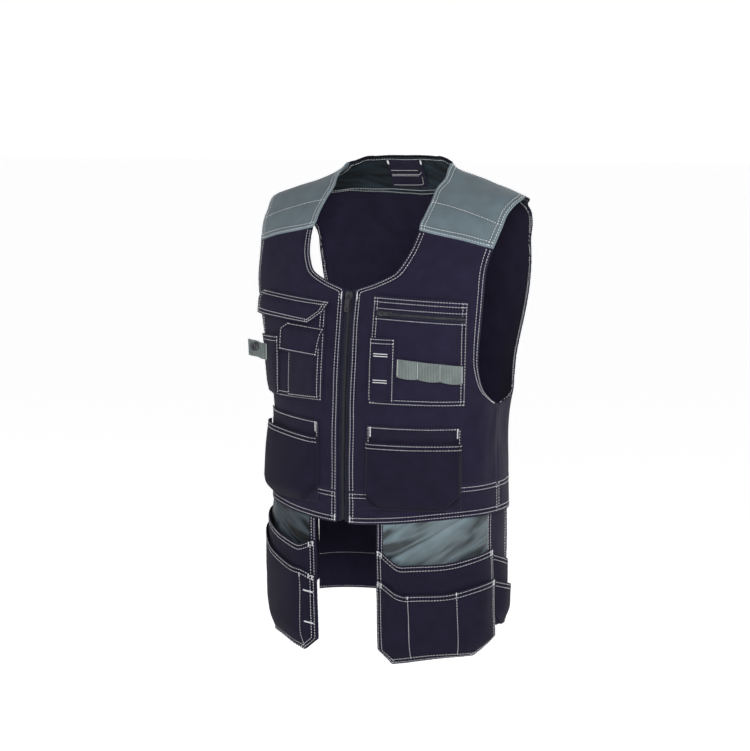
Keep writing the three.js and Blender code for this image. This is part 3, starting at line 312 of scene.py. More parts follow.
def even_curve(places):
    scale = np.array([0.6 * CHEST_WIDTH, 1])
    p = np.array(places, float) * scale
    t = np.linspace(0, 1, 40, endpoint=False)[:, None]
    out = []
    for i in range(len(p) - 1):
        p0, p1, p2, p3 = p[max(i - 1, 0)], p[i], p[i + 1], p[min(i + 2, len(p) - 1)]
        square, cube = 2 * p0 - 5 * p1 + 4 * p2 - p3, 3 * p1 - p0 - 3 * p2 + p3
        out.append(0.5 * (2 * p1 + (p2 - p0) * t + square * t**2 + cube * t**3))
    out = np.vstack(out + [p[-1:]])
    length = np.concatenate([[0], np.cumsum(np.linalg.norm(np.diff(out, axis=0), axis=1))])
    length /= length[-1]
    return lambda s: np.stack([np.interp(s, length, out[:, 0]), np.interp(s, length, out[:, 1])], -1) / scale


def armhole_places(column, sign):
    places = []
    for row in ARMHOLE[::-1]:
        z = mix(TIP_Z, UNDERARM_Z, row[0])
        y = side_at(z) + sign * row[column] * CHEST_DEPTH / 2
        places.append((way_at_y(y, z) if row[column] else 1, z))
    return places


armhole_front = even_curve(armhole_places(1, -1))
armhole_back = even_curve(armhole_places(2, 1))
neckline = even_curve(
    [(way_at_x(ZIP_HALF, ZIP_TOP_Z), ZIP_TOP_Z)]
    + [(way_at_x(r * NECK_WIDTH / 2, -d * NECK_DEPTH), -d * NECK_DEPTH) for r, d in NECKLINE]
    + [(1, NECK_POINT_RISE)]
)


def share_at_z(curve, z):
    t = np.linspace(0, 1, 2001)
    return float(np.interp(z, curve(t)[:, 1], t))


def shoulder_z(share):
    return mix(NECK_POINT_RISE, TIP_Z, share)


UNDERARM_T, ZIP_T, YOKE_T = 4 / 17, 7 / 17, 12 / 17
NECK_AT_YOKE, ARM_AT_YOKE = share_at_z(neckline, -63), share_at_z(armhole_front, -88)
BACK_UNDERARM_T, BACK_YOKE_T, NECK_COLUMN = 4 / 17, 13 / 17, 4 / 9
ARM_AT_BACK_YOKE = share_at_z(armhole_back, -40)
BEHIND_YOKE = 1 + YOKE_BEHIND + SHOULDER_SEAM


def pick(t, cases):
    """Joins functions of t: cases are (upper limit of t, function), each called with all of t."""
    out = None
    for limit, value in reversed(cases):
        value = value(t)
        out = value if out is None else np.where((t <= limit)[..., None], value, out)
    return out


def pair(way, z):
    return np.stack(np.broadcast_arrays(way, z), -1).astype(float)


def zip_side(t):
    z = mix(float(band_top_z(ZIP_HALF)) + SEAM, ZIP_TOP_Z, np.clip(t / ZIP_T, 0, 1))
    return pair(way_of(ZIP_HALF, z), z)


def capped(places, low=None, high=None):
    places = places.copy()
    places[..., 0] = np.clip(places[..., 0], low, high)
    return places


def front_bottom(c):
    length = mix(ZIP_HALF, quarter_at(SIDE_BOTTOM_Z), c)
    z = band_top_z(length) + SEAM
    return pair(np.clip(way_of(length, z), 0, 1 - SHOULDER_SEAM), z)


def front_left_edge(t):
    def neck(t):
        return capped(neckline(np.interp(t, [ZIP_T, YOKE_T, 1], [0, NECK_AT_YOKE, 1])),
                      high=1 - SHOULDER_SEAM)
    return pick(t, [(ZIP_T, zip_side), (2, neck)])


def front_right_edge(t):
    def seam(t):
        return pair(1 - SHOULDER_SEAM, mix(SIDE_BOTTOM_Z, UNDERARM_Z, np.clip(t / UNDERARM_T, 0, 1)))

    def arm(t):
        return capped(armhole_front(np.interp(t, [UNDERARM_T, YOKE_T, 1], [0, ARM_AT_YOKE, 1])),
                      high=1 - SHOULDER_SEAM)
    return pick(t, [(UNDERARM_T, seam), (2, arm)])


def back_neckline(share):
    rise = table(BACK_NECKLINE, share)[:, 1]
    return pair(mix(1, 2, share), mix(NECK_POINT_RISE, BACK_NECK_RISE, rise))


def back_right_edge(t):
    def seam(t):
        return pair(1 + SHOULDER_SEAM, mix(SIDE_BOTTOM_Z, UNDERARM_Z, np.clip(t / BACK_UNDERARM_T, 0, 1)))

    def arm(t):
        places = armhole_back(np.interp(t, [BACK_UNDERARM_T, BACK_YOKE_T, 1], [0, ARM_AT_BACK_YOKE, 1]))
        low = np.where(t > BACK_YOKE_T, BEHIND_YOKE, 1 + SHOULDER_SEAM)
        places[..., 0] = np.maximum(places[..., 0], low)
        return places
    return pick(t, [(BACK_UNDERARM_T, seam), (2, arm)])


def back_left_edge(t):
    return pair(2, np.interp(t, [0, BACK_YOKE_T, 1], [SIDE_BOTTOM_Z, -14, BACK_NECK_RISE]))


def back_top(c):
    def neck(c):
        return back_neckline(1 - np.clip(c / NECK_COLUMN, 0, 1))

    def shoulder(c):
        return pair(1, shoulder_z(np.clip((c - NECK_COLUMN) / (1 - NECK_COLUMN), 0, 1)))
    return capped(pick(c, [(NECK_COLUMN, neck), (2, shoulder)]), low=BEHIND_YOKE)


def coons(bottom, right, top, left, rows, columns):
    c, t = np.asarray(columns, float), np.asarray(rows, float)
    one = np.array([0.0, 1.0])
    low, high, near, far = bottom(c), top(c), left(t), right(t)
    lo2, hi2 = bottom(one), top(one)
    c_, t_ = c[None, :, None], t[:, None, None]
    return (
        mix(low[None], high[None], t_) + mix(near[:, None], far[:, None], c_)
        - mix(mix(lo2[0], lo2[1], c_), mix(hi2[0], hi2[1], c_), t_)
    )


def front_places(rows, columns):
    def top(c):
        return pair(1 - SHOULDER_SEAM, shoulder_z(c))
    return coons(front_bottom, front_right_edge, top, front_left_edge, rows, columns)


def back_places(rows, columns):
    def bottom(c):
        return pair(mix(2, 1 + SHOULDER_SEAM, c), SIDE_BOTTOM_Z)
    return coons(bottom, back_right_edge, back_top, back_left_edge, rows, columns)


def spanned(places, height):
    """A grid across the middle of the back from the places of its left half."""
    left = over(places[..., 0], places[..., 1], LEFT, height)
    right = over(places[..., 0], places[..., 1], RIGHT, height)
    return np.concatenate([left[:, ::-1], right[:, 1:]], axis=1)


# Materials.
def node(tree, kind, inputs=None, **settings):
    n = tree.nodes.new(kind)
    for key, value in settings.items():
        setattr(n, key, value)
    for key, value in (inputs or {}).items():
        if isinstance(value, bpy.types.NodeSocket):
            tree.links.new(value, n.inputs[key])
        else:
            n.inputs[key].default_value = value
    return n


def ramp(tree, factor, stops):
    n = node(tree, "ShaderNodeValToRGB", {"Fac": factor})
    elements = n.color_ramp.elements
    while len(elements) < len(stops):
        elements.new(0.5)
    for e, (position, colour) in zip(elements, stops):
        e.position = position
        e.color = (*colour, 1)
    return n.outputs["Color"]


def blend(tree, kind, factor, a, b):
    n = node(tree, "ShaderNodeMix", data_type="RGBA", blend_type=kind)
    for socket, value in ((n.inputs[0], factor), (n.inputs[6], a), (n.inputs[7], b)):
        if isinstance(value, bpy.types.NodeSocket):
            tree.links.new(value, socket)
        elif isinstance(value, tuple):
            socket.default_value = (*value, 1)
        else:
            socket.default_value = value
    return n.outputs[2]


def maths(tree, operation, a, b):
    return node(tree, "ShaderNodeMath", {0: a, 1: b}, operation=operation).outputs[0]


def even(value):
    """One grey for all three channels."""
    return (value,) * 3


def times(colour, factor):
    return tuple(v * factor for v in colour)


def new_material(name):
    material = bpy.data.materials.new(name)
    material.use_nodes = True
    material.node_tree.nodes.clear()
    return material, material.node_tree


def noise(tree, vector, scale, detail, **more):
    inputs = {"Vector": vector, "Scale": scale, "Detail": detail, **more}
    return node(tree, "ShaderNodeTexNoise", inputs).outputs["Fac"]


def stripes(tree, vector, scale, **more):
    inputs = {"Vector": vector, "Scale": scale, **more}
    return node(tree, "ShaderNodeTexWave", inputs, wave_type="BANDS", bands_direction="X").outputs["Fac"]


def bumped(tree, strength, distance, height, **more):
    inputs = {"Strength": strength, "Distance": distance, "Height": height, **more}
    return node(tree, "ShaderNodeBump", inputs).outputs[0]


def surface(tree, colour, roughness, normal, **constants):
    """Adds the shader and the output. Constants are named after its sockets."""
    inputs = {"Base Color": colour, "Roughness": roughness, "Normal": normal}
    shader = node(tree, "ShaderNodeBsdfPrincipled", inputs)
    for key, value in constants.items():
        shader.inputs[key.replace("_", " ")].default_value = value
    node(tree, "ShaderNodeOutputMaterial", {"Surface": shader.outputs[0]})


def cloth_material(name, colour, light=1.35, dark=0.62, roughness=0.82, sheen=0.12, weave=1150,
                   weave_depth=0.35, grain=0.5, specular=0.3, turn=0.9, rim_wear_and_highlight=1.25):
    """Woven cloth: twill lines, threads, soft patches, paler edges that are partly wear and partly painted
    highlight on the rolled rims, and painted shade darkening the seam grooves.
    """
    material, tree = new_material(name)
    uv = node(tree, "ShaderNodeUVMap", uv_map="cloth").outputs[0]
    turned = node(tree, "ShaderNodeMapping", {"Vector": uv, "Rotation": (0, 0, turn)}).outputs[0]
    twill = stripes(tree, turned, weave / 3.6, Distortion=0.6, Detail=1.0)
    threads = noise(tree, uv, 1400.0, 2.0, Roughness=0.6)
    patches = noise(tree, uv, 34.0, 4.0, Roughness=0.62)
    shades = ramp(tree, patches, [
        (0.3, times(colour, mix(1, dark, 0.55))), (0.5, colour), (0.72, times(colour, mix(1, light, 0.6))),
    ])
    for pattern, low, shade, high in ((threads, 0.32, grain * 0.5, 0.7), (twill, 0.15, weave_depth, 0.75)):
        lines = ramp(tree, pattern, [(low, even(1 - shade)), (high, even(1))])
        shades = blend(tree, "MULTIPLY", 1.0, shades, lines)
    seam, edge = (node(tree, "ShaderNodeAttribute", attribute_name=key).outputs["Fac"] for key in ("seam",
                                                                                                   "edge"))
    # Rims paled through the edge attribute: partly wear, partly painted highlight on the raised edges.
    worn_and_lit_rim = maths(tree, "MULTIPLY", edge, ramp(tree, threads, [(0.35, even(0.2)), (0.65, even(1))]))
    pale = tuple(min(1, v * rim_wear_and_highlight + 0.012) for v in colour)
    # The first blend pales the rims, as wear and as painted highlight; the second darkens the colour along
    # the seams, painted shade in the seam grooves.
    for amount, share, other in ((worn_and_lit_rim, 0.5, pale), (seam, 0.45, times(colour, 0.45))):
        shades = blend(tree, "MIX", maths(tree, "MULTIPLY", amount, share), shades, other)
    height = maths(tree, "ADD", maths(tree, "MULTIPLY", twill, 0.5), threads)
    height = maths(tree, "ADD", height, maths(tree, "MULTIPLY", patches, 2.4))
    rough = maths(tree, "ADD", maths(tree, "MULTIPLY", threads, 0.14), roughness - 0.07)
    surface(tree, shades, rough, bumped(tree, 0.45, 0.0004, height), Sheen_Weight=sheen, Sheen_Roughness=0.5,
            Specular_IOR_Level=specular)
    return material


def cloth_parts(material):
    """The tree, the shader and the map of a cloth material."""
    tree = material.node_tree
    shader = next(n for n in tree.nodes if n.type == "BSDF_PRINCIPLED")
    return tree, shader, next(n for n in tree.nodes if n.type == "UVMAP").outputs[0]


def overlay(tree, shader, pattern):
    under = shader.inputs["Base Color"].links[0].from_socket
    tree.links.new(blend(tree, "MULTIPLY", 1.0, under, pattern), shader.inputs["Base Color"])


def satin_material(name, colour, crease_light_and_shade, shine):
    """Shiny lining cloth with long slanting creases, whose colour is also painted darker and lighter along
    them: painted shade and highlight on the folds.
    """
    material = cloth_material(name, colour, light=1.15, dark=0.8, weave_depth=0.1, grain=0.12,
                              roughness=0.46,
                              specular=shine, sheen=0.03)
    tree, shader, uv = cloth_parts(material)
    slant = {"Vector": uv, "Rotation": (0, 0, 0.45), "Scale": (0.14, 0.03, 1.0)}
    stretched = node(tree, "ShaderNodeMapping", slant, vector_type="TEXTURE").outputs[0]
    creases = noise(tree, stretched, 1.0, 1.8, Distortion=1.3)
    # Painted shade and highlight along the creases: one band of the noise darkens the colour, another
    # lightens it.
    stops = [(0.38, even(1 - crease_light_and_shade)), (0.47, even(0.8)), (0.62, even(1 + 0.35 * crease_light_and_shade))]
    overlay(tree, shader, ramp(tree, creases, stops))
    fine = shader.inputs["Normal"].links[0].from_socket
    tree.links.new(bumped(tree, 0.8, 0.005, creases, Normal=fine), shader.inputs["Normal"])
    return material


def webbing_material(name, colour):
    """Elastic webbing: upright ribs with a tight cross weave, the valleys between the ribs darkened with
    painted shade.
    """
    material = cloth_material(name, colour, weave=900, weave_depth=0.12, grain=0.35, turn=0.0,
                              roughness=0.75)
    tree, shader, uv = cloth_parts(material)
    ribs = stripes(tree, uv, 130.0, Distortion=0.3)
    # Painted shade in the valleys between the ribs.
    overlay(tree, shader, ramp(tree, ribs, [(0.1, even(0.5)), (0.6, even(1.1))]))
    tree.links.new(bumped(tree, 0.7, 0.0007, ribs), shader.inputs["Normal"])
    return material


def hard_material(name, colour, roughness, metallic=0.0, coat=0.0):
    """Moulded plastic or plated metal with fine scratches."""
    material, tree = new_material(name)
    place = node(tree, "ShaderNodeTexCoord").outputs["Object"]
    grain, smear = noise(tree, place, 900.0, 3.0), noise(tree, place, 120.0, 2.0)
    shades = ramp(tree, smear, [(0.3, times(colour, 0.75)), (0.7, times(colour, 1.3))])
    rough = maths(tree, "ADD", maths(tree, "MULTIPLY", grain, 0.3), roughness - 0.3 / 2)
    surface(tree, shades, rough, bumped(tree, 0.15, 0.0002, grain), Metallic=metallic, Coat_Weight=coat)
    return material


NAVY = cloth_material("navy_cloth", (0.0132, 0.0106, 0.0305), specular=0.13, sheen=0.02)
# The same navy cloth made darker for the pouches and holsters low on the vest: painted shade.
NAVY_PAINTED_SHADE = cloth_material("navy_cloth_painted_shade", (0.0100, 0.0082, 0.0230), specular=0.11, sheen=0.02)
NAVY_DARK = cloth_material("navy_dark", (0.0128, 0.0102, 0.0280), specular=0.14, sheen=0.03)
GREY = cloth_material("grey_twill", (0.126, 0.170, 0.193), light=1.22, dark=0.76, weave_depth=0.4,
                      grain=0.45,
                      rim_wear_and_highlight=2.2)
SATIN = {
    LEFT: satin_material("grey_satin", (0.092, 0.129, 0.146), 0.8, 0.4),
    # The wearer's right lining is the same grey satin made much darker: painted shade.
    RIGHT: satin_material("grey_satin_painted_shade", (0.032, 0.045, 0.056), 0.9, 0.1),
}
# The neck facing is the grey satin, darkened to paint the shade inside the back neck.
FACING_PAINTED_SHADE = satin_material("dark_facing", (0.0125, 0.022, 0.029), 0.75, 0.1)
ZIP_TAPE = cloth_material("zip_tape", (0.0125, 0.0135, 0.027), weave=800, turn=0.0, roughness=0.85,
                          specular=0.12, sheen=0.02)
THREAD = cloth_material("thread", (0.8, 0.82, 0.84), light=1.1, dark=0.85, weave=1500, weave_depth=0.2,
                        grain=0.25, roughness=0.6, sheen=0.3)
WEBBING = webbing_material("grey_webbing", (0.15, 0.18, 0.174))
ZIP_PLASTIC = hard_material("zip_plastic", (0.012, 0.012, 0.018), 0.35, coat=0.2)
METAL = hard_material("dark_metal", (0.05, 0.05, 0.058), 0.36, metallic=0.7)


# Meshes.
def add_object(name, verts, faces, material, body="vest", nodes=(), uvs=None, attributes=None):
    mesh = bpy.data.meshes.new(name)
    mesh.from_pydata((np.asarray(verts) * 0.001).tolist(), [], [tuple(f) for f in faces])
    mesh.materials.append(material)
    if uvs is not None:
        layer = mesh.uv_layers.new(name="cloth")
        loops = np.empty(len(mesh.loops), dtype=np.int32)
        mesh.loops.foreach_get("vertex_index", loops)
        layer.data.foreach_set("uv", (np.asarray(uvs)[loops] * 0.001).astype(np.float32).ravel())
    for key, values in (attributes or {}).items():
        mesh.attributes.new(key, "FLOAT", "POINT").data.foreach_set("value", np.asarray(values, np.float32))
    mesh.polygons.foreach_set("use_smooth", [True] * len(mesh.polygons))
    mesh.update()
    obj = bpy.data.objects.new(name, mesh)
    bpy.context.scene.collection.objects.link(obj)
    if nodes:
        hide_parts(*nodes)
    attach(obj, body)
    return obj


# Millimetres between the points of a seam line.
LINE_STEP = 1.5


def unit(v):
    return v / np.maximum(np.linalg.norm(v, axis=-1, keepdims=True), 1e-9)


def grid_normals(g):
    a = np.empty_like(g)
    b = np.empty_like(g)
    a[:, 1:-1], a[:, 0], a[:, -1] = g[:, 2:] - g[:, :-2], g[:, 1] - g[:, 0], g[:, -1] - g[:, -2]
    b[1:-1], b[0], b[-1] = g[2:] - g[:-2], g[1] - g[0], g[-1] - g[-2]
    n = unit(np.cross(a, b))
    outward = g - np.array([0, 10, 0])
    outward[..., 2] = 0
    return n if (n * outward).sum() > 0 else -n


def walk(line):
    """Distances along a line of points."""
    return np.concatenate([[0], np.cumsum(np.linalg.norm(np.diff(line, axis=0), axis=1))])


def grid_quads(rows, columns):
    """The number of a grid's point, and its faces."""
    at = lambda r, c: r * columns + c
    r, c = (v.ravel() for v in np.meshgrid(np.arange(rows - 1), np.arange(columns - 1), indexing="ij"))
    return at, np.stack([at(r, c), at(r, c + 1), at(r + 1, c + 1), at(r + 1, c)], -1)


def along_line(at, a, line):
    """The places at distances along a line of points whose own distances are a."""
    return np.stack([np.interp(at, a, line[:, i]) for i in range(3)], -1)


class Piece:
    """A sheet of cloth on a fine grid, with sunken seams, raised hems and a rolled rim."""

    def __init__(self, name, grid, thickness, nodes, material, seams=(), hems=(), relief=None, pucker=0.32,
                 groove=0.5):
        self.name, self.thickness = name, thickness
        self.seam_lines = [s(grid) if callable(s) else s for s in seams]
        rows, columns = grid.shape[:2]
        normals = grid_normals(grid)
        lift, self.seam = np.zeros((rows, columns)), np.zeros((rows, columns))
        if relief is not None:
            lift += relief
        for edge, width, high in hems:
            lift += high * smooth((width + 1.5 - self.edge_distance(grid, edge)) / 3)
        lines = [l for l in self.seam_lines if len(l) > 1]
        if lines:
            tree = KDTree(sum(len(l) for l in lines))
            phase = []
            for l in lines:
                for p, a in zip(l, walk(l)):
                    tree.insert(p, len(phase))
                    phase.append(a)
            tree.balance()
            flat = grid.reshape(-1, 3)
            found = [tree.find(p) for p in flat]
            d = np.array([f[2] for f in found]).reshape(rows, columns)
            a = np.array([phase[f[1]] for f in found]).reshape(rows, columns)
            lift += pucker * np.exp(-((d / 6.5) ** 2)) * np.sin(a * 0.72 + 1.3 * np.sin(a / 21))
            lift -= groove * np.exp(-((d / 2.3) ** 2))
            self.seam = np.exp(-((d / 2.6) ** 2))
        grid = grid + normals * lift[..., None]
        normals = grid_normals(grid)
        self.outer, self.normals = grid + normals * thickness / 2, normals
        self.build(grid, normals, nodes, material)

    @staticmethod
    def edge_distance(g, edge):
        axis = 0 if edge in ("bottom", "top") else 1
        step = np.linalg.norm(np.diff(g, axis=axis), axis=-1)
        zero = np.zeros_like(np.take(step, [0], axis))
        if edge in ("bottom", "left"):
            return np.concatenate([zero, np.cumsum(step, axis)], axis)
        back = np.flip(np.cumsum(np.flip(step, axis), axis), axis)
        return np.concatenate([back, zero], axis)

    def build(self, g, n, nodes, material):
        rows, columns = g.shape[:2]
        t = self.thickness / 2
        outer, inner = (g + n * t).reshape(-1, 3), (g - n * t).reshape(-1, 3)
        count = rows * columns
        at, quads = grid_quads(rows, columns)
        a, b = g[0, 1] - g[0, 0], g[1, 0] - g[0, 0]
        if np.dot(np.cross(a, b), n[0, 0]) < 0:
            quads = quads[:, ::-1]
        faces = quads.tolist() + (quads[:, ::-1] + count).tolist()
        ring = (
            [at(0, k) for k in range(columns - 1)] + [at(k, columns - 1) for k in range(rows - 1)]
            + [at(rows - 1, k) for k in range(columns - 1, 0, -1)] + [at(k, 0) for k in range(rows - 1, 0,
                                                                                              -1)]
        )
        flat, flat_n = g.reshape(-1, 3), n.reshape(-1, 3)
        edge_points = flat[ring]
        tangent = unit(np.roll(edge_points, -1, 0) - np.roll(edge_points, 1, 0))
        out = unit(np.cross(tangent, flat_n[ring]))
        middle = g[rows // 2, columns // 2]
        if (out * (edge_points - middle)).sum() < 0:
            out = -out
        bulge = edge_points + out * t * 0.9
        verts = np.vstack([outer, inner, bulge])
        start, m = 2 * count, len(ring)
        turned = np.dot(np.cross(edge_points[1] - edge_points[0], flat_n[ring[0]]), out[0]) < 0
        for k in range(m):
            a, b, x, y = ring[k], ring[(k + 1) % m], start + k, start + (k + 1) % m
            new = [(a, x, y, b), (x, a + count, b + count, y)]
            faces += [f[::-1] for f in new] if turned else new
        u = np.concatenate([np.zeros((rows, 1)), np.cumsum(np.linalg.norm(np.diff(g, axis=1), axis=-1), 1)],
                           1)
        u -= u[:, columns // 2][:, None]
        v = np.concatenate([np.zeros((1, columns)),
                            np.cumsum(np.linalg.norm(np.diff(g, axis=0), axis=-1), 0)], 0)
        uv = np.stack([u, v], -1).reshape(-1, 2)
        near = np.minimum.reduce([self.edge_distance(g, e) for e in ("bottom", "top", "left", "right")])
        edge = np.exp(-near / 1.6).ravel()
        seam = self.seam.ravel()
        self.object = add_object(
            self.name, verts, faces, material, nodes=nodes, uvs=np.vstack([uv, uv, uv[ring]]),
            attributes={"seam": np.concatenate([seam, seam * 0.5, np.zeros(m)]),
                        "edge": np.concatenate([edge, edge * 0.4, np.ones(m)])},
        )

    def inset(self, edge, d, start=0.0):
        """A line on the face, d inside an edge, from a share of its length on."""
        return inset_line(self.outer, edge, d, start)


def inset_line(g, edge, d, start=0.0):
    axis = 0 if edge in ("bottom", "top") else 1
    if axis == 0:
        g = np.swapaxes(g, 0, 1)
    if edge in ("top", "right"):
        g = g[:, ::-1]
    step = np.linalg.norm(np.diff(g, axis=1), axis=-1)
    length = np.concatenate([np.zeros((len(g), 1)), np.cumsum(step, 1)], 1)
    line = np.array([[np.interp(d, length[k], g[k, :, i]) for i in range(3)] for k in range(len(g))])
    a = walk(line)
    at = np.arange(a[-1] * start, a[-1], LINE_STEP)
    return along_line(at, a, line)


# Stitches: every stitch is a short thread that dives into the cloth at both ends.
class Thread:
    def __init__(self):
        self.a, self.b, self.n, self.w = [], [], [], []

    def segment(self, a, b, n, width):
        self.a.append(a)
        self.b.append(b)
        self.n.append(n)
        self.w.append(width)

    def run(self, line, normals, stitch=3.1, gap=1.5, width=0.92):
        a = walk(line)
        if a[-1] < stitch:
            return
        starts = np.arange(gap / 2 + rng.uniform(0, gap), a[-1] - stitch, stitch + gap)
        starts = starts + rng.uniform(-0.12, 0.12, len(starts))
        p, q = along_line(starts, a, line), along_line(starts + stitch, a, line)
        n = unit(along_line(starts + stitch / 2, a, normals))
        wander = np.cross(unit(q - p), n) * rng.normal(0, 0.09, (len(p), 1))
        for item in zip(p + wander, q - wander, n):
            self.segment(*item, width * rng.uniform(0.92, 1.08))

    def build(self, name):
        a, b, n = (np.array(v, float) for v in (self.a, self.b, self.n))
        w = np.array(self.w)[:, None]
        t = unit(b - a)
        n = unit(n - t * (n * t).sum(1, keepdims=True))
        s = np.cross(n, t)
        length = np.linalg.norm(b - a, axis=1)[:, None]
        rings = [a - n * 0.35]
        for share in (0.2, 0.8):
            middle = a + t * length * share + n * 0.12
            for angle in (-20, 35, 90, 145, 200, 270):
                c, d = math.cos(math.radians(angle)), math.sin(math.radians(angle))
                rings.append(middle + s * w * 0.5 * c + n * w * 0.42 * d)
        rings.append(b - n * 0.35)
        verts = np.stack(rings, 1).reshape(-1, 3)
        pattern = []
        for k in range(6):
            m = (k + 1) % 6
            pattern += [(0, 1 + m, 1 + k, 1 + k), (1 + k, 1 + m, 7 + m, 7 + k), (7 + k, 7 + m, 13, 13)]
        faces = []
        for i in range(len(a)):
            for f in pattern:
                f = [v + 14 * i for v in f]
                faces.append(f[:3] if f[2] == f[3] else f)
        turns = np.array([0] + [1] * 6 + [3] * 6 + [4]) * 0.8
        along = np.stack([np.tile(turns, len(a)), np.arange(len(verts)) % 5], -1)
        add_object(name, verts, faces, THREAD, uvs=along,
                   attributes={"seam": np.zeros(len(verts)), "edge": np.zeros(len(verts))})


class Face:
    """The outer face of a piece, hit by rays from outside to lay stitches on it."""

    def __init__(self, piece):
        g = piece.outer
        rows, columns = g.shape[:2]
        quads = grid_quads(rows, columns)[1]
        self.tree = BVHTree.FromPolygons(g.reshape(-1, 3).tolist(), quads.tolist())

    def near(self, line):
        hits = [self.tree.find_nearest(p) for p in line]
        normals = np.array([h[1] for h in hits])
        points = np.array([h[0] for h in hits])
        outward = points - np.array([0, 10, 0])
        outward[:, 2] = 0
        flip = (normals * outward).sum(1) < 0
        normals[flip] *= -1
        return points, normals

    def line(self, side, places):
        """places are (length round the body, z): the line over them on this face."""
        places = np.array(places, float)
        a = walk(places)
        at = np.arange(0, a[-1] + 0.01, LINE_STEP)
        s, z = np.interp(at, a, places[:, 0]), np.interp(at, a, places[:, 1])
        top, foot = over_length(s, z, side, 60.0), over_length(s, z, side, -30.0)
        points, normals = [], []
        for p, q in zip(top, foot):
            direction = Vector(q - p).normalized()
            hit = self.tree.ray_cast(Vector(p), direction)
            if hit[0] is None:
                continue
            n = np.array(hit[1])
            points.append(hit[0])
            normals.append(n if np.dot(n, p - q) > 0 else -n)
        return np.array(points).reshape(-1, 3), np.array(normals).reshape(-1, 3)


def sew(thread, piece, line, **options):
    points, normals = Face(piece).near(line) if not isinstance(piece, Face) else piece.near(line)
    thread.run(points, normals, **options)


def sew_places(thread, face, side, places, **options):
    points, normals = face.line(side, places)
    if len(points) > 2:
        thread.run(points, normals, **options)


def bar_tack(thread, face, side, start, end, width=2.4, pitch=0.85):
    """A dense zigzag between two places."""
    points, normals = face.line(side, [start, end])
    if len(points) < 2:
        return
    a = walk(points)
    at = np.arange(0, a[-1], pitch)
    p = along_line(at, a, points)
    n = normals[np.clip(np.searchsorted(a, at), 0, len(a) - 1)]
    t = unit(points[-1] - points[0])
    for q, m in zip(p, n):
        s = unit(np.cross(m, t))
        lean = t * rng.uniform(-0.25, 0.25)
        thread.segment(q - s * width / 2 - lean, q + s * width / 2 + lean, m, 0.8)


# Body pieces.
FRONT_COLUMNS, BACK_HALF = np.linspace(0, 1, 84), np.linspace(0, 1, 66)
SEAM_SHARE = SEAM / BODY_LENGTH
# Distances of a twin row of stitches inside an edge.
DOUBLE = (2.6, 8.6)
SIDES_ONLY = ("left", "right")
ALL_EDGES = ("top", "bottom", "left", "right")
ZIP_TACK = {"length": 14.5, "neck": (-160, -171), "hem": (-506, -515)}
CROSS_SEAM = (0.175, 0.3)
thread_front, thread_back, thread_inside, thread_label = Thread(), Thread(), Thread(), Thread()


def both(prefix):
    return (LEFT, prefix + "_left"), (RIGHT, prefix + "_right")


def shares(rows, columns):
    """Shares from 0 to 1 down the rows and across the columns of a grid."""
    return np.meshgrid(np.linspace(0, 1, rows), np.linspace(0, 1, columns), indexing="ij")


def double(edges):
    return [lambda g, e=e, d=d: inset_line(g, e, d) for e in edges for d in DOUBLE]


def hems(edges, width, high):
    return [(edge, width, high) for edge in edges]


def sew_edges(thread, piece, edges, distances=DOUBLE):
    """Rows of stitches inside the edges of a piece. Gives its face."""
    face = Face(piece)
    for edge in edges:
        for d in distances:
            sew(thread, face, piece.inset(edge, d))
    return face


def front_grid(side, low, high, rows):
    places = front_places(np.linspace(low, high, rows), FRONT_COLUMNS)
    return over(places[..., 0], places[..., 1], side, 0.0)


def tack_zip(face, side, where):
    top, foot = ZIP_TACK[where]
    bar_tack(thread_front, face, side, (ZIP_TACK["length"], top), (ZIP_TACK["length"], foot))


for side, name in both("front"):
    grid = front_grid(side, 0, YOKE_T - SEAM_SHARE, 118)
    arm = len(grid) // 3
    seams = [lambda g, d=d: inset_line(g[arm:], "right", d) for d in DOUBLE]
    front = Piece(name + "_cloth", grid, SHELL, [name], NAVY, seams=seams + double(["left"]),
                  hems=hems(("right", "left"), 10, 0.5))
    face = Face(front)
    for d in DOUBLE:
        sew(thread_front, face, inset_line(front.outer[arm:], "right", d))
        sew(thread_front, face, front.inset("left", d))
    tack_zip(face, side, "neck")

for side, name in both("shoulder_yoke"):
    z = shoulder_z(FRONT_COLUMNS)
    behind = np.linspace(1.004, 1 + YOKE_BEHIND - SHOULDER_SEAM, 4)
    lap = np.stack([over(way, z, side, 0.0) for way in behind])
    grid = np.concatenate([front_grid(side, YOKE_T + SEAM_SHARE, 1, 46), lap], 0)
    at = np.linspace(*CROSS_SEAM, grid.shape[1]) * len(grid)
    low, share = at.astype(int), (at % 1)[:, None]
    column = np.arange(grid.shape[1])
    cross = mix(grid[low, column], grid[low + 1, column], share)
    down, across = shares(*grid.shape[:2])
    wave = np.sin(across * 23 + 7 * down + 1.6 * np.sin(5 * down + side))
    wave += 0.6 * np.sin(across * 11 - 9 * down + 2)
    wrinkles = 0.42 * wave * np.sin(np.pi * down) * np.sin(np.pi * across) * mix(0.35, 1, across)
    yoke = Piece(name + "_cloth", grid, SHELL + 0.5, [name], GREY, relief=wrinkles,
                 seams=double(["left", "right", "bottom"]) + [cross],
                 hems=hems(["bottom"], 10, 0.6) + hems(SIDES_ONLY, 10, 0.4))
    face = sew_edges(thread_front, yoke, ("left", "right", "bottom"))
    sew(thread_front, face, yoke.inset("top", 2.6))
    sew(thread_front, face, cross)

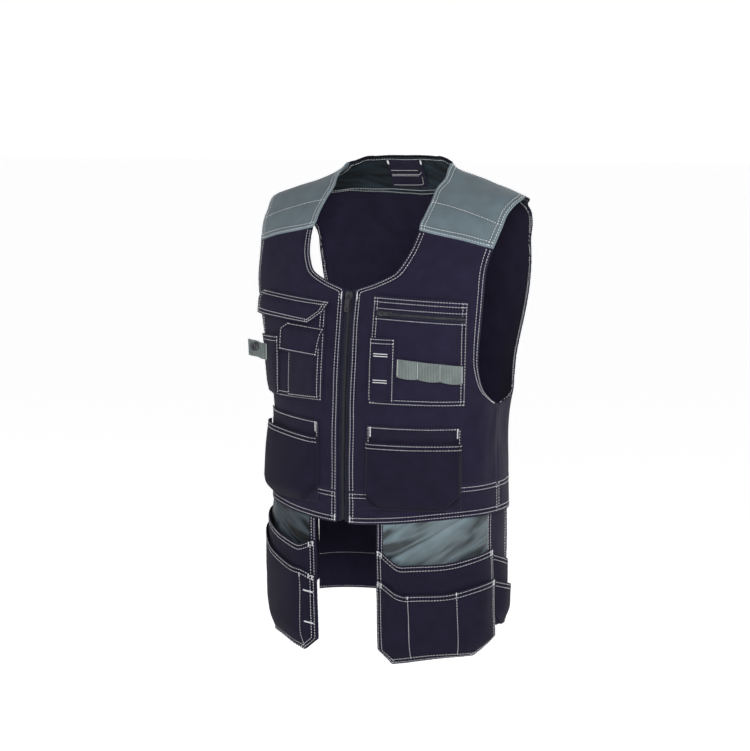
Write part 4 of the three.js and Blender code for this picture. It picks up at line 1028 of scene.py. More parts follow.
places = back_places(np.linspace(0, BACK_YOKE_T - 1 / BODY_LENGTH, 110), BACK_HALF)
BACK_ARM = round(110 * BACK_UNDERARM_T / BACK_YOKE_T)
seams = [lambda g, d=d, e=e: inset_line(g[BACK_ARM:], e, d) for d in DOUBLE for e in SIDES_ONLY]
back = Piece("back_panel_cloth", spanned(places, 0.0), SHELL, ["back_panel"], NAVY,
             seams=seams + double(["top"]),
             hems=hems(SIDES_ONLY, 10, 0.5))
places = back_places(np.linspace(BACK_YOKE_T + 1 / BODY_LENGTH, 1, 30), BACK_HALF)
back_yoke = Piece("back_yoke_cloth", spanned(places, 0.0), SHELL, ["back_yoke"], NAVY,
                  seams=double(["top", "bottom"]), hems=[("top", 10, 0.5), ("bottom", 9, 0.5)])
FACING_HEIGHT = -(SHELL / 2 + 2 * GAP + LINING / 2)
places = back_places(np.linspace(BACK_YOKE_T, 1 - 1.5 / BODY_LENGTH, 26),
                     BACK_HALF * (1 - 1.5 / CHEST_WIDTH))
facing = Piece("neck_facing_cloth", spanned(places, FACING_HEIGHT), LINING, ["neck_facing"], FACING_PAINTED_SHADE,
               seams=double(["bottom"]))
for piece, edges, start in ((back, ("left", "right", "top"), BACK_ARM), (back_yoke, ALL_EDGES, 0)):
    face = Face(piece)
    for edge in edges:
        grid = piece.outer if edge == "top" else piece.outer[start:]
        for d in DOUBLE:
            sew(thread_back, face, inset_line(grid, edge, d))


def inner_run(thread, piece, edge, d, start=0):
    """Stitches that show on the inside of a piece."""
    line = inset_line((piece.outer - piece.normals * piece.thickness)[start:], edge, d)
    points, normals = Face(piece).near(line)
    thread.run(points - normals * piece.thickness, -normals)


for edge, d in (("bottom", 3), ("bottom", 9), ("top", 4)):
    inner_run(thread_inside, facing, edge, d)
for edge in SIDES_ONLY:
    for d in DOUBLE:
        inner_run(thread_inside, back, edge, d, BACK_ARM)

# Waist bands.
WAIST_Z = float(hem_z(CHEST_WIDTH))
BAND_HEMS = [("top", 9, 0.4), ("bottom", 9, 0.5)]
for side, name in both("front_band"):
    t, c = shares(18, 84)
    length = mix(ZIP_HALF, quarter_at(WAIST_Z) - SEAM, c)
    grid = over_length(length, mix(hem_z(length), band_top_z(length), t), side, 0.0)
    band = Piece(name + "_cloth", grid, BAND_SHELL, [name], NAVY, seams=double(ALL_EDGES), hems=BAND_HEMS)
    face = sew_edges(thread_front, band, ("top", "bottom", "left"))
    sew(thread_front, face, band.inset("right", 3))
    tack_zip(face, side, "hem")
t, c = np.meshgrid(np.linspace(0, 1, 16), BACK_HALF, indexing="ij")
places = pair(mix(2, 1 + SHOULDER_SEAM, c), mix(WAIST_Z, float(band_top_z(CHEST_WIDTH)), t))
back_band = Piece("back_band_cloth", spanned(places, 0.0), BAND_SHELL, ["back_band"], NAVY,
                  seams=double(ALL_EDGES), hems=BAND_HEMS)
sew_edges(thread_back, back_band, ("top", "bottom"))
sew_edges(thread_back, back_band, SIDES_ONLY, (3,))


# Neck patch: bare, with sewn outlines and a tack at each upper corner.
def patch_grid(width, height, inset, shift, stand):
    t, c = shares(22, 32)
    z = BACK_NECK_RISE - inset - height * (1 - t)
    x = shift - 10 * (1 - t) + (c - 0.5) * width
    return over_length(half_at(z) - np.abs(x), z, np.where(x < 0, RIGHT, LEFT), stand)


grid = patch_grid(66, 44, 4, -8, FACING_HEIGHT - LINING - 2 * GAP)
label = Piece("neck_patch_cloth", grid, LINING, ["neck_patch"], NAVY_DARK, pucker=0.1, groove=0.1)
inside = label.outer - label.normals * label.thickness


def on_label(u, v):
    r, c = v * (inside.shape[0] - 1), u * (inside.shape[1] - 1)
    a, b = np.minimum(r.astype(int), inside.shape[0] - 2), np.minimum(c.astype(int), inside.shape[1] - 2)
    x, y = (r - a)[:, None], (c - b)[:, None]
    f = lambda g: mix(mix(g[a, b], g[a + 1, b], x), mix(g[a, b + 1], g[a + 1, b + 1], x), y)
    return f(inside), -f(label.normals)


def label_outline(low, high, corner):
    """A sewn outline, open at its upper left, with the corners at the wearer's left rounded."""
    turn = np.linspace(0, np.pi / 2, 12)
    u = np.concatenate([np.linspace(0.05, 0.9 - corner, 40), 0.9 - corner + corner * np.sin(turn),
                        0.9 + 0 * turn])
    bend = 1.4 * corner
    v = np.concatenate([np.full(40, low), low + bend * (1 - np.cos(turn)),
                        np.linspace(low + bend, high, 12)])
    return on_label(u, v)


for low, high in ((0.08, 0.42), (0.5, 0.62)):
    for line in (label_outline(low, high, 0.07),
                 on_label(np.linspace(0.05, 0.82, 40), np.full(40, high + 0.03))):
        thread_label.run(*line, stitch=2.6, gap=0.5, width=0.8)
for u in (0.03, 0.97):
    for k in np.linspace(0.88, 1.0, 10):
        p, n = on_label(np.array([u - 0.03, u + 0.03]), np.array([k, k]))
        thread_label.segment(p[0], p[1], n[0], 0.8)


# Front zip.
BACKWARD = -(SHELL / 2 + GAP + TAPE / 2)


def zip_height(z):
    return mix(-(BAND_SHELL / 2 + GAP + TAPE / 2), BACKWARD,
               smooth((z - float(band_top_z(0))) / BAND_HEIGHT))


for side, name in ((LEFT, "zip_tape_left"), (RIGHT, "zip_tape_right")):
    z, c = np.meshgrid(np.linspace(float(hem_z(0)) + 2, ZIP_TOP_Z, 150), np.linspace(0, 1, 9), indexing="ij")
    grid = over_length(mix(3.4, 24, c), z, side, zip_height(z))
    Piece(name + "_cloth", grid, TAPE, [name], ZIP_TAPE, pucker=0)


def boxes_object(name, frames, size, material, nodes, bevel=0.25):
    """Many small blocks with bevelled edges, one in each frame of (centre, x, y, z directions)."""
    full = np.array(size) / 2
    cut = full - bevel
    corner = []
    for signs in itertools.product((-1, 1), repeat=3):
        for axis in (2, 1, 0):
            reach = cut.copy()
            reach[axis] = full[axis]
            corner.append(signs * reach)
    corner = np.array(corner)
    hull = convex_faces(corner)
    verts, faces = [], []
    for i, (p, x, y, z) in enumerate(frames):
        verts.append(p + corner @ np.stack([x, y, z]))
        faces += [[v + len(corner) * i for v in f] for f in hull]
    add_object(name, np.vstack(verts), faces, material, nodes=nodes)


def convex_faces(points):
    bm = bmesh.new()
    for p in points:
        bm.verts.new(p)
    bm.verts.index_update()
    bmesh.ops.convex_hull(bm, input=bm.verts)
    bmesh.ops.dissolve_limit(bm, angle_limit=0.02, verts=bm.verts, edges=bm.edges)
    bmesh.ops.recalc_face_normals(bm, faces=bm.faces)
    bm.verts.index_update()
    order = [tuple(v.co) for v in bm.verts]
    lookup = {tuple(round(c, 5) for c in p): i for i, p in enumerate(points)}
    faces = [[lookup[tuple(round(c, 5) for c in order[v.index])] for v in f.verts] for f in bm.faces]
    bm.free()
    return faces


frames = []
TOOTH_PITCH = 2.6
for k, z in enumerate(np.arange(float(hem_z(0)) + 5, ZIP_TOP_Z - 2, TOOTH_PITCH / 2)):
    side = LEFT if k % 2 else RIGHT
    p = over_length(1.1, z, side, float(zip_height(z)) + 0.9)
    q = over_length(1.1, z + 2, side, float(zip_height(z + 2)) + 0.9)
    up_ = unit(q - p)
    out_ = unit(p - over_length(1.1, z, side, -6.0))
    x_ = unit(np.cross(up_, out_))
    frames.append((p, x_, up_, np.cross(x_, up_)))
boxes_object("zip_teeth_row", frames, (3.6, 1.05, 2.4), ZIP_PLASTIC, ["zip_teeth"])


def bevelled(name, build, width, body, nodes, matrix):
    """A metal part from its plates, with its edges rounded, put in place by its matrix."""
    bm = bmesh.new()
    build(bm)
    mesh = bpy.data.meshes.new(name)
    bmesh.ops.recalc_face_normals(bm, faces=bm.faces)
    bm.to_mesh(mesh)
    bm.free()
    obj = bpy.data.objects.new(name, mesh)
    bpy.context.scene.collection.objects.link(obj)
    modifier = obj.modifiers.new("Bevel", "BEVEL")
    modifier.width = width
    modifier.segments = 3
    modifier.limit_method = "ANGLE"
    bpy.context.view_layer.update()
    shaped = bpy.data.meshes.new_from_object(obj.evaluated_get(bpy.context.evaluated_depsgraph_get()))
    bpy.data.objects.remove(obj)
    verts = np.array([v.co for v in shaped.vertices])
    verts = verts @ matrix[:3, :3].T + matrix[:3, 3]
    faces = [list(p.vertices) for p in shaped.polygons]
    add_object(name, verts, faces, METAL, body, nodes)


def extrude_outline(bm, outline, low, high, hole=None):
    """A plate from an outline, in the local X and Y, between two local heights. A hole is an outline too."""
    bottoms = [bm.verts.new((x, y, low)) for x, y in outline]
    tops = [bm.verts.new((x, y, high)) for x, y in outline]
    n = len(outline)
    for k in range(n):
        bm.faces.new((bottoms[k], bottoms[(k + 1) % n], tops[(k + 1) % n], tops[k]))
    if not hole:
        bm.faces.new(tops)
        bm.faces.new(bottoms[::-1])
        return
    low_h = [bm.verts.new((x, y, low)) for x, y in hole]
    high_h = [bm.verts.new((x, y, high)) for x, y in hole]
    m = len(hole)
    for k in range(m):
        bm.faces.new((low_h[(k + 1) % m], low_h[k], high_h[k], high_h[(k + 1) % m]))
    for k in range(n):
        for a, b, flip in ((tops, high_h, False), (bottoms, low_h, True)):
            face = (a[k], a[(k + 1) % n], b[(k + 1) % m], b[k])
            bm.faces.new(face[::-1] if flip else face)


def rounded(width, low, high, radius):
    """A rounded rectangle about the local Y axis, from low to high, run counter-clockwise."""
    out = []
    for cx, cy, start in ((1, 1, 0), (-1, 1, 90), (-1, -1, 180), (1, -1, 270)):
        x, y = cx * (width / 2 - radius), (high - radius) if cy > 0 else (low + radius)
        for k in range(5):
            angle = math.radians(start + 90 * k / 4)
            out.append((x + radius * math.cos(angle), y + radius * math.sin(angle)))
    return out


def slider_frame(length, z, side, height, along):
    p, above = (over_length(np.array(float(length)), np.array(float(z)), side, height + h) for h in (0, 5.0))
    out = unit(above - p)
    x = unit(np.cross(along, out))
    y = np.cross(out, x)
    m = np.eye(4)
    m[:3, 0], m[:3, 1], m[:3, 2], m[:3, 3] = x, y, out, p
    return m


def add_slider(prefix, nodes, size, matrix, pull_body):
    """A slider with its arch, and the pull that hinges in the arch."""
    width, length, height, pull_length, pull_width = size
    top = height / 2

    def slider(bm):
        w, l = width, length
        outline = [(-w * 0.3, -l / 2), (w * 0.3, -l / 2), (w * 0.46, -l * 0.2), (w / 2, l * 0.12),
                   (w * 0.44, l * 0.42),
                   (w * 0.2, l / 2), (-w * 0.2, l / 2), (-w * 0.44, l * 0.42), (-w / 2,
                                                                                l * 0.12), (-w * 0.46,
                                                                                            -l * 0.2)]
        extrude_outline(bm, outline, top - height * 0.32, top)
        extrude_outline(bm, outline, -top, -top + height * 0.3)
        extrude_outline(bm, rounded(w * 0.34, l * 0.1, l * 0.42, 0.6), -top + height * 0.25,
                        top - height * 0.3)
    bevelled(prefix + "_slider_body", slider, 0.35, "vest", [nodes[0]], matrix)

    def arch(bm):
        profile = ((-2.4, -0.3), (-2.4, 1.9), (-1.6, 3.4), (1.6, 3.4), (2.4, 1.9), (2.4, -0.3),
                   (1.25, -0.3), (1.25, 1.7), (0.9, 2.4), (-0.9, 2.4), (-1.25, 1.7), (-1.25, -0.3))
        path = [(y, top + z) for y, z in profile]
        left = [bm.verts.new((-1.1, y, z)) for y, z in path]
        right = [bm.verts.new((1.1, y, z)) for y, z in path]
        n = len(path)
        for k in range(n):
            bm.faces.new((left[k], left[(k + 1) % n], right[(k + 1) % n], right[k]))
        for a, b, c, d in ((0, 1, 10, 11), (1, 2, 9, 10), (2, 3, 8, 9), (3, 4, 7, 8), (4, 5, 6, 7)):
            bm.faces.new([left[i] for i in (a, b, c, d)][::-1])
            bm.faces.new([right[i] for i in (a, b, c, d)])
    bevelled(prefix + "_slider_arch", arch, 0.25, "vest", [], matrix)
    lifted = matrix.copy()
    lifted[:3, 3] += matrix[:3, 2] * (top + 1.2)

    def pull(bm):
        extrude_outline(bm, rounded(pull_width * 0.74, -4.9, 0.8, 0.9), -0.75, 0.75,
                        rounded(3.3, -4.2, -0.75, 0.6))
        extrude_outline(bm, rounded(pull_width, -pull_length, -4.6, 2.2), -0.75, 0.75,
                        rounded(pull_width * 0.36, -pull_length + 2.2, -pull_length + 6.4, 1.2))
        for k in range(5):
            y = -7.2 - k * 1.6
            if y > -pull_length + 7.4:
                extrude_outline(bm, rounded(pull_width * 0.62, y - 0.4, y + 0.4, 0.39), 0.6, 1.1)
    bevelled(prefix + "_pull_plate", pull, 0.22, pull_body, [nodes[1]], lifted)


# Width, length and height of the slider, and length and width of the pull.
MAIN_SLIDER = (11, 14, 4, 25, 8)
z = ZIP_TOP_Z - MAIN_SLIDER[1] / 2 - 3
height = BACKWARD + TOOTH_PITCH / 4 + TOOTH_PITCH / 2 + SEAM + MAIN_SLIDER[2] / 2
add_slider("main", ("zip_slider", "zip_pull"), MAIN_SLIDER,
           slider_frame(0, z, LEFT, height, np.array([0, 0, 1.0])),
           "main_pull")


# Pockets.
ON_SHELL = SHELL / 2 + GAP + PATCH / 2
STEP = PATCH + GAP


def cut_ends(near, far, cuts, z, low):
    if not cuts:
        return near + 0 * z, far + 0 * z
    (near_wide, near_tall), (far_wide, far_tall) = cuts
    return (near + near_wide * (1 - np.clip((z - low) / near_tall, 0, 1)),
            far - far_wide * (1 - np.clip((z - low) / far_tall, 0, 1)))


def pouch(side, near, far, top_z, bottom_z, stand, depth, cuts=None, edge=14, foot=20, mouth=1.0, cell=2.8,
          extra=None):
    wide, tall = far - near, abs(float(top_z(np.array(near))) - float(bottom_z(np.array(near))))
    c = np.linspace(0, 1, max(int(wide / cell), 8) + 1)
    c = mix(c, (1 - np.cos(c * np.pi)) / 2, 0.3)
    t, c = np.meshgrid(np.linspace(0, 1, max(int(tall / cell), 8) + 1), c, indexing="ij")
    mid = mix(near, far, c)
    low, high = bottom_z(mid), top_z(mid)
    z = mix(low, high, t)
    start, end = cut_ends(near, far, cuts, z, low)
    length = mix(start, end, c)
    rim = np.minimum(length - start, end - length)
    bulge = round_off(rim, edge) * round_off(z - low, foot) * mix(1, mouth, t**1.5)
    height = stand + depth * bulge
    if extra is not None:
        height = height + extra(c, t, length, z, bulge)
    return over_length(length, z, side, height)


def flat(z):
    return lambda length: -z + 0 * np.asarray(length, float)


def slope(near, far, top, fall):
    return lambda length: -top - fall * (np.asarray(length, float) - near) / (far - near)


def crumple(amount, scale=1.0, phase=0.0):
    """Soft unevenness inside a pouch."""
    def extra(c, t, length, z, bulge):
        waves = np.sin(length / (13 * scale) + z / (29 * scale) + phase)
        waves = waves + 0.8 * np.sin(z / (15 * scale) - length / (37 * scale) + 2 * phase)
        return amount * waves * bulge * np.clip(4 * c * (1 - c), 0, 1)
    return extra


thread_chest, thread_lower, thread_hang = Thread(), Thread(), Thread()


def patch_pocket(name, side, ends, top, foot_z, stand, depth, material, seams, hemmed, **shape):
    """A cloth pouch that stands for the solid of the same name. top is the mouth's depth and its fall."""
    grid = pouch(side, *ends, slope(*ends, *top), flat(foot_z), stand, depth, **shape)
    return Piece(name + "_cloth", grid, PATCH, [name], material, seams=double(seams), hems=hemmed)


# Wearer's right chest.
side = RIGHT
THREE = ("left", "right", "bottom")
chest_right = patch_pocket("chest_pocket_right", side, (40, 195), (186, -6), 330, ON_SHELL, 2, NAVY, THREE,
                           hems(THREE, 9, 0.3), foot=14, extra=crumple(0.35))
sew_edges(thread_chest, chest_right, THREE)
on_pocket = ON_SHELL + STEP + 2
phone = patch_pocket("phone_pouch", side, (44, 110), (232, -4), 326, on_pocket, 3, NAVY_DARK, THREE, (),
                     edge=10, foot=16, extra=crumple(0.3))
sew_edges(thread_chest, phone, ("left", "bottom", "right"), DOUBLE[:1])


def sew_pens(piece):
    """One row down each side and two along the top."""
    sew_edges(thread_chest, piece, SIDES_ONLY, DOUBLE[:1])
    return sew_edges(thread_chest, piece, ["top"])


PEN_SEAMS, PEN_HEM = ("left", "right", "top"), hems(["top"], 9, 0.4)
pens = patch_pocket("pen_pouch", side, (136, 193), (234, 0), 326, on_pocket, 2, NAVY_DARK, PEN_SEAMS,
                    PEN_HEM,
                    edge=10, foot=16, extra=crumple(0.3))
sew_pens(pens)


def flap(name, ends, top, drop, outline, low, high):
    """A flap over a pouch. Its outline has rows of shares: down, near end, far end and lift."""
    outline = np.array(outline)
    t, c = shares(22, 64)
    near_share, far_share, lift = (np.interp(t, outline[:, 0], outline[:, k]) for k in (1, 2, 3))
    length = ends[0] + (ends[1] - ends[0]) * mix(near_share, far_share, c)
    z = slope(*ends, *top)(length) - drop * t
    lift = smooth(lift) * (1 + 0.12 * np.sin(c * 9 + 1))
    grid = over_length(length, z, RIGHT, mix(low, high, lift))
    return Piece(name + "_cloth", grid, PATCH, [name], NAVY, seams=double(THREE), hems=hems(THREE, 9, 0.35))


PHONE_FLAP = [(0, 0, 0.86, 0), (0.12, 0.01, 0.93, 0.5), (0.24, 0.02, 1, 0.9), (0.6, 0.06, 1.01, 1),
              (1, 0.09, 1.02, 1)]
CHEST_FLAP = [
    (0, 0, 0.97, 0), (0.2, 0.005, 1.01, 0.6), (0.42, 0.02, 1.02, 0.95), (0.72, 0.12, 1.04, 1), (1, 0.22,
                                                                                                1.06, 1),
]
FLAP_SEWING = ("left", "right", "bottom", "top")
phone_flap = flap("phone_flap", (37, 125), (217, -6), 44, PHONE_FLAP, on_pocket, on_pocket + STEP + 3 + 0.5)
sew_edges(thread_chest, phone_flap, FLAP_SEWING, DOUBLE[:1])
chest_flap = flap("chest_flap", (34, 191), (175, -12), 38, CHEST_FLAP, ON_SHELL, on_pocket + 4)
sew_edges(thread_chest, chest_flap, FLAP_SEWING)

# Snap tab and snap. The tab is sewn to the front over the lengths in "sewn" and stands free from "root" on.
SNAP_TAB = {"z": -262, "height": 25, "sewn": (168.0, 178.0), "root": 181.0, "reach": 21, "fall": 8,
            "thick": 1.8}
base = ON_SHELL + 2 * STEP + 2 + 2


def on_tab(length, z, height):
    return over_length(np.array(length), np.array(z), side, height)


n0 = unit(on_tab(SNAP_TAB["root"], float(SNAP_TAB["z"]), 30.0) - on_tab(SNAP_TAB["root"],
                                                                        float(SNAP_TAB["z"]), 0.0))
out = unit(n0 * np.array([1, 1, 0]))
rows = []
for t in np.linspace(0, 1, 12):
    z = SNAP_TAB["z"] + SNAP_TAB["height"] * (t - 0.5)
    sewn = [on_tab(mix(*SNAP_TAB["sewn"], c), z, base) for c in np.linspace(0, 1, 6)]
    root = on_tab(SNAP_TAB["root"], z, base + 2)
    free = []
    for c in np.linspace(0, 1, 14):
        p = root + out * (2 + SNAP_TAB["reach"] * c)
        p[2] = z + SNAP_TAB["fall"] * c + 0.8 * math.sin(c * 5)
        free.append(p)
    rows.append(sewn + free)
Piece("snap_tab_webbing", np.array(rows), SNAP_TAB["thick"], ["snap_tab"], WEBBING,
      pucker=0.05, groove=0.1, seams=[lambda g: inset_line(g, "right", 3)])
face_out = -np.cross(out, np.array([0, 0, 1.0]))
# Radius and height.
SNAP_PROFILE = [
    (0, 0), (7, 0), (7, 1.4), (6.7, 2.2), (6, 2.8), (4.6, 3), (3.9, 2.7), (3.4, 2), (2.2, 1.7), (1.6, 2.1),
    (0.8, 2.3), (0, 2.3),
]
SNAP_TURNS = 40
verts, faces = [], []
low, high = (np.array(v) * 1000 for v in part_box("snap"))
centre = (low + high) / 2 - face_out * 1.5
for r, h in SNAP_PROFILE:
    for k in range(SNAP_TURNS):
        a = 2 * math.pi * k / SNAP_TURNS
        verts.append(centre + face_out * h + (out * math.cos(a) + np.cross(face_out, out) * math.sin(a)) * r)
for i in range(len(SNAP_PROFILE) - 1):
    for k in range(SNAP_TURNS):
        a, b = i * SNAP_TURNS + k, i * SNAP_TURNS + (k + 1) % SNAP_TURNS
        faces.append((a, b, b + SNAP_TURNS, a + SNAP_TURNS))
add_object("snap_cap", verts, faces, METAL, nodes=["snap"])

# Wearer's left chest.
side = LEFT
chest_left = patch_pocket("chest_pocket_left", side, (47, 198), (163, 5), 328, ON_SHELL, 3, NAVY,
                          FLAP_SEWING,
                          hems(FLAP_SEWING, 9, 0.3), foot=14, extra=crumple(0.35, 1.1, 1))
face = sew_edges(thread_chest, chest_left, FLAP_SEWING)
for z in (-181, -197):
    sew_places(thread_chest, face, side, [(52, z), (196, z - 5)])
zip_base = ON_SHELL + 3 + PATCH / 2 + GAP
zip_z = slope(56, 194, 189, 5)
c = np.linspace(56, 194, 70)
grid = np.stack([over_length(c, zip_z(c) + rise, side, zip_base + 0.5) for rise in np.linspace(-4.5, 4.5,
                                                                                               5)])
Piece("pocket_zip_tape_cloth", grid, TAPE, ["pocket_zip_tape"], ZIP_TAPE, pucker=0)
on_tape = zip_base + TAPE + SEAM
frames = []
for k, s in enumerate(np.arange(58, 193, 0.95)):
    s, z = np.array(float(s)), zip_z(s) + (0.7 if k % 2 else -0.7)
    p, q = over_length(s, z, side, on_tape + 0.9), over_length(s + 2, z, side, on_tape + 0.9)
    x_, out_ = unit(q - p), unit(p - over_length(s, z, side, 0.0))
    y_ = unit(np.cross(out_, x_))
    frames.append((p, x_, y_, np.cross(x_, y_)))
boxes_object("pocket_zip_teeth_row", frames, (0.8, 2.4, 1.7), METAL, ["pocket_zip_teeth"], 0.18)
POCKET_SLIDER_AT = 66.0
z0 = zip_z(POCKET_SLIDER_AT)
way = way_of(POCKET_SLIDER_AT, z0)
along = unit(over(way - 0.01, z0, side, 0.0) - over(way + 0.01, z0, side, 0.0))
small = slider_frame(POCKET_SLIDER_AT, float(z0), side, on_tape + 1.8 + SEAM + 1.3, along)
add_slider("pocket", ("pocket_slider", "pocket_pull"), (8, 10, 2.6, 20, 6), small, "small_pull")
on_pocket = ON_SHELL + STEP + 3
strip = patch_pocket("pen_strip", side, (48, 90), (226, 0), 322, on_pocket, 2, NAVY, PEN_SEAMS, PEN_HEM,
                     edge=8, foot=12, extra=crumple(0.2))
face = sew_pens(strip)
for z in (-250, -290):
    for fall in (0, 3.6):
        bar_tack(thread_chest, face, side, (57, z - fall), (80, z - fall), width=1.6)
seam_height = on_pocket - (PATCH - 1.2) / 2 - (GAP - SEAM)
loop_top = slope(94, 192, 257, 8)
c, t = np.linspace(0, 1, 112), np.linspace(0, 1, 12)[:, None]
length = mix(94, 192, c)[None]
arch = np.abs(np.sin(c * 3 * np.pi))[None] ** 0.8
ribs = 0.18 * np.sin(length * 2.9)
z = loop_top(length) - 26 * t - 1.6 * arch * (t - 0.2)
grid = over_length(length + 0 * t, z, side, seam_height + 4.5 * arch + ribs)
webbing = Piece("webbing_loops_band", grid, 1.2, ["webbing_loops"], WEBBING, pucker=0, groove=0,
                seams=[lambda g, k=k: g[:, k] for k in (0, 37, 74, 111)])
face = Face(webbing)
for s in (95.5, 126.6, 159.2, 190.5):
    z = float(loop_top(s))
    bar_tack(thread_chest, face, side, (s, z - 1), (s, z - 25), width=1.6, pitch=1.3)

# Lower pockets. The fall is that of the top from the near to the far end.
LOWER_POCKETS = {
    LEFT: {"name": "lower_pocket_left", "ends": (45, 193), "fall": 0, "depth": 20, "phase": 0.4},
    RIGHT: {"name": "lower_pocket_right", "ends": (46, 186), "fall": -9, "depth": 13, "phase": 2.1},
}
base = ON_SHELL + (BAND_SHELL - SHELL) / 2
for side, pocket in LOWER_POCKETS.items():
    name, ends, fall = pocket["name"], pocket["ends"], pocket["fall"]
    backing = patch_pocket(name + "_back", side, ends, (361, fall), 489, base, 0, NAVY_DARK,
                           ("top", "left", "right"), hems(["top"], 9, 0.4), cell=3.2)
    face = sew_edges(thread_lower, backing, ["top"], DOUBLE[:1])
    for edge in SIDES_ONLY:
        sew(thread_lower, face, backing.inset(edge, DOUBLE[0], 0.72))
    for s, lower in ((ends[0] + 6, 0), (ends[1] - 6, fall)):
        bar_tack(thread_lower, face, side, (s, -363 - lower), (s, -379 - lower))

    def slack(c, t, length, z, bulge, phase=pocket["phase"]):
        droop = 0.9 * np.sin(c * 7 + phase) * t**3
        return crumple(0.7, 1.3, phase)(c, t, length, z, bulge) + droop

    grid = pouch(side, *ends, slope(*ends, 386, fall * 1.5), flat(488), base + STEP, pocket["depth"],
                 ((26, 26), (26, 26)), 12, 20, 0.4, extra=slack)
    front = Piece(name + "_pouch_cloth", grid, PATCH, [name + "_pouch"], NAVY_PAINTED_SHADE,
                  seams=double(["top"]) + [lambda g, e=e: inset_line(g, e, DOUBLE[0]) for e in SIDES_ONLY],
                  hems=[("top", 10, 0.5)])
    sew_edges(thread_lower, front, ["top"])

# Hanging holsters and the tail.
TUCK = 16
HANG = -(BAND_SHELL / 2 + GAP + PATCH / 2)


def hanging(side, near, far, length, cuts, height):
    return pouch(side, near, far, lambda s: hem_z(s) + TUCK, lambda s: hem_z(s) - length, height, 0, cuts,
                 cell=3.0)


def sagging(near_drop, middle_drop, far_drop, steep, rise, near, far, wave=0.0):
    """A mouth that falls from its near end and rises again to its far end."""
    def top_z(s):
        share = (np.asarray(s, float) - near) / (far - near)
        ripple = wave * np.sin(share * 8.5) * np.sin(share * math.pi)
        fall = mix(near_drop, middle_drop, smooth(share * steep))
        return hem_z(s) - mix(fall, far_drop, smooth((share - rise) / (1 - rise))) + ripple
    return top_z


def creased(lines, extra):
    """Adds soft valleys along lines of (length, z) to a pouch's unevenness."""
    def both_heights(c, t, length, z, bulge):
        height = extra(c, t, length, z, bulge)
        for (s0, z0), (s1, z1), deep, wide in lines:
            along = ((length - s0) * (s1 - s0) + (z - z0) * (z1 - z0)) / ((s1 - s0) ** 2 + (z1 - z0) ** 2)
            off = ((length - s0) * (z1 - z0) - (z - z0) * (s1 - s0)) / math.hypot(s1 - s0, z1 - z0)
            fade = np.clip(along * 5, 0, 1) * np.clip((1 - along) * 3, 0, 1)
            valley = 0.8 * np.exp(-(((off - wide) / wide) ** 2)) - np.exp(-((off / wide) ** 2))
            height = height + deep * fade * valley
        return height
    return both_heights


HOLSTER_LENGTH, SIDE_HOLSTER_LENGTH = 219, 183
# Creases have two places, a depth and a width. Mouths have a drop at the near end, in the middle and at
# the far end, how steeply they fall, and the share where they rise. Cuts are wide and tall, near and far.
# Dividers have a length and the drop of their tops. Tacks are heights.
HOLSTERS = {
    LEFT: {
        "creases": [((82, -560), (124, -690), 1.7, 4)],
        "mouths": ((40, 67, 57, 4.5, 0.5), (88, 113, 104, 4, 0.5)),
        "cuts": ((24, 20), (48, 24)), "ends": (60, 261), "dividers": ((113, 112), (183, 112)), "tacks": (),
    },
    RIGHT: {
        "creases": [((215, -560), (185, -640), 1.4, 5), ((88, -590), (70, -690), 0.9, 4)],
        "mouths": ((38, 51, 22, 6, 0.1), (94, 87, 45, 8, 0.15)),
        "cuts": ((28, 21), (76, 76)), "ends": (56, 258), "dividers": ((81, 94),), "tacks": (-636, -687),
    },
}
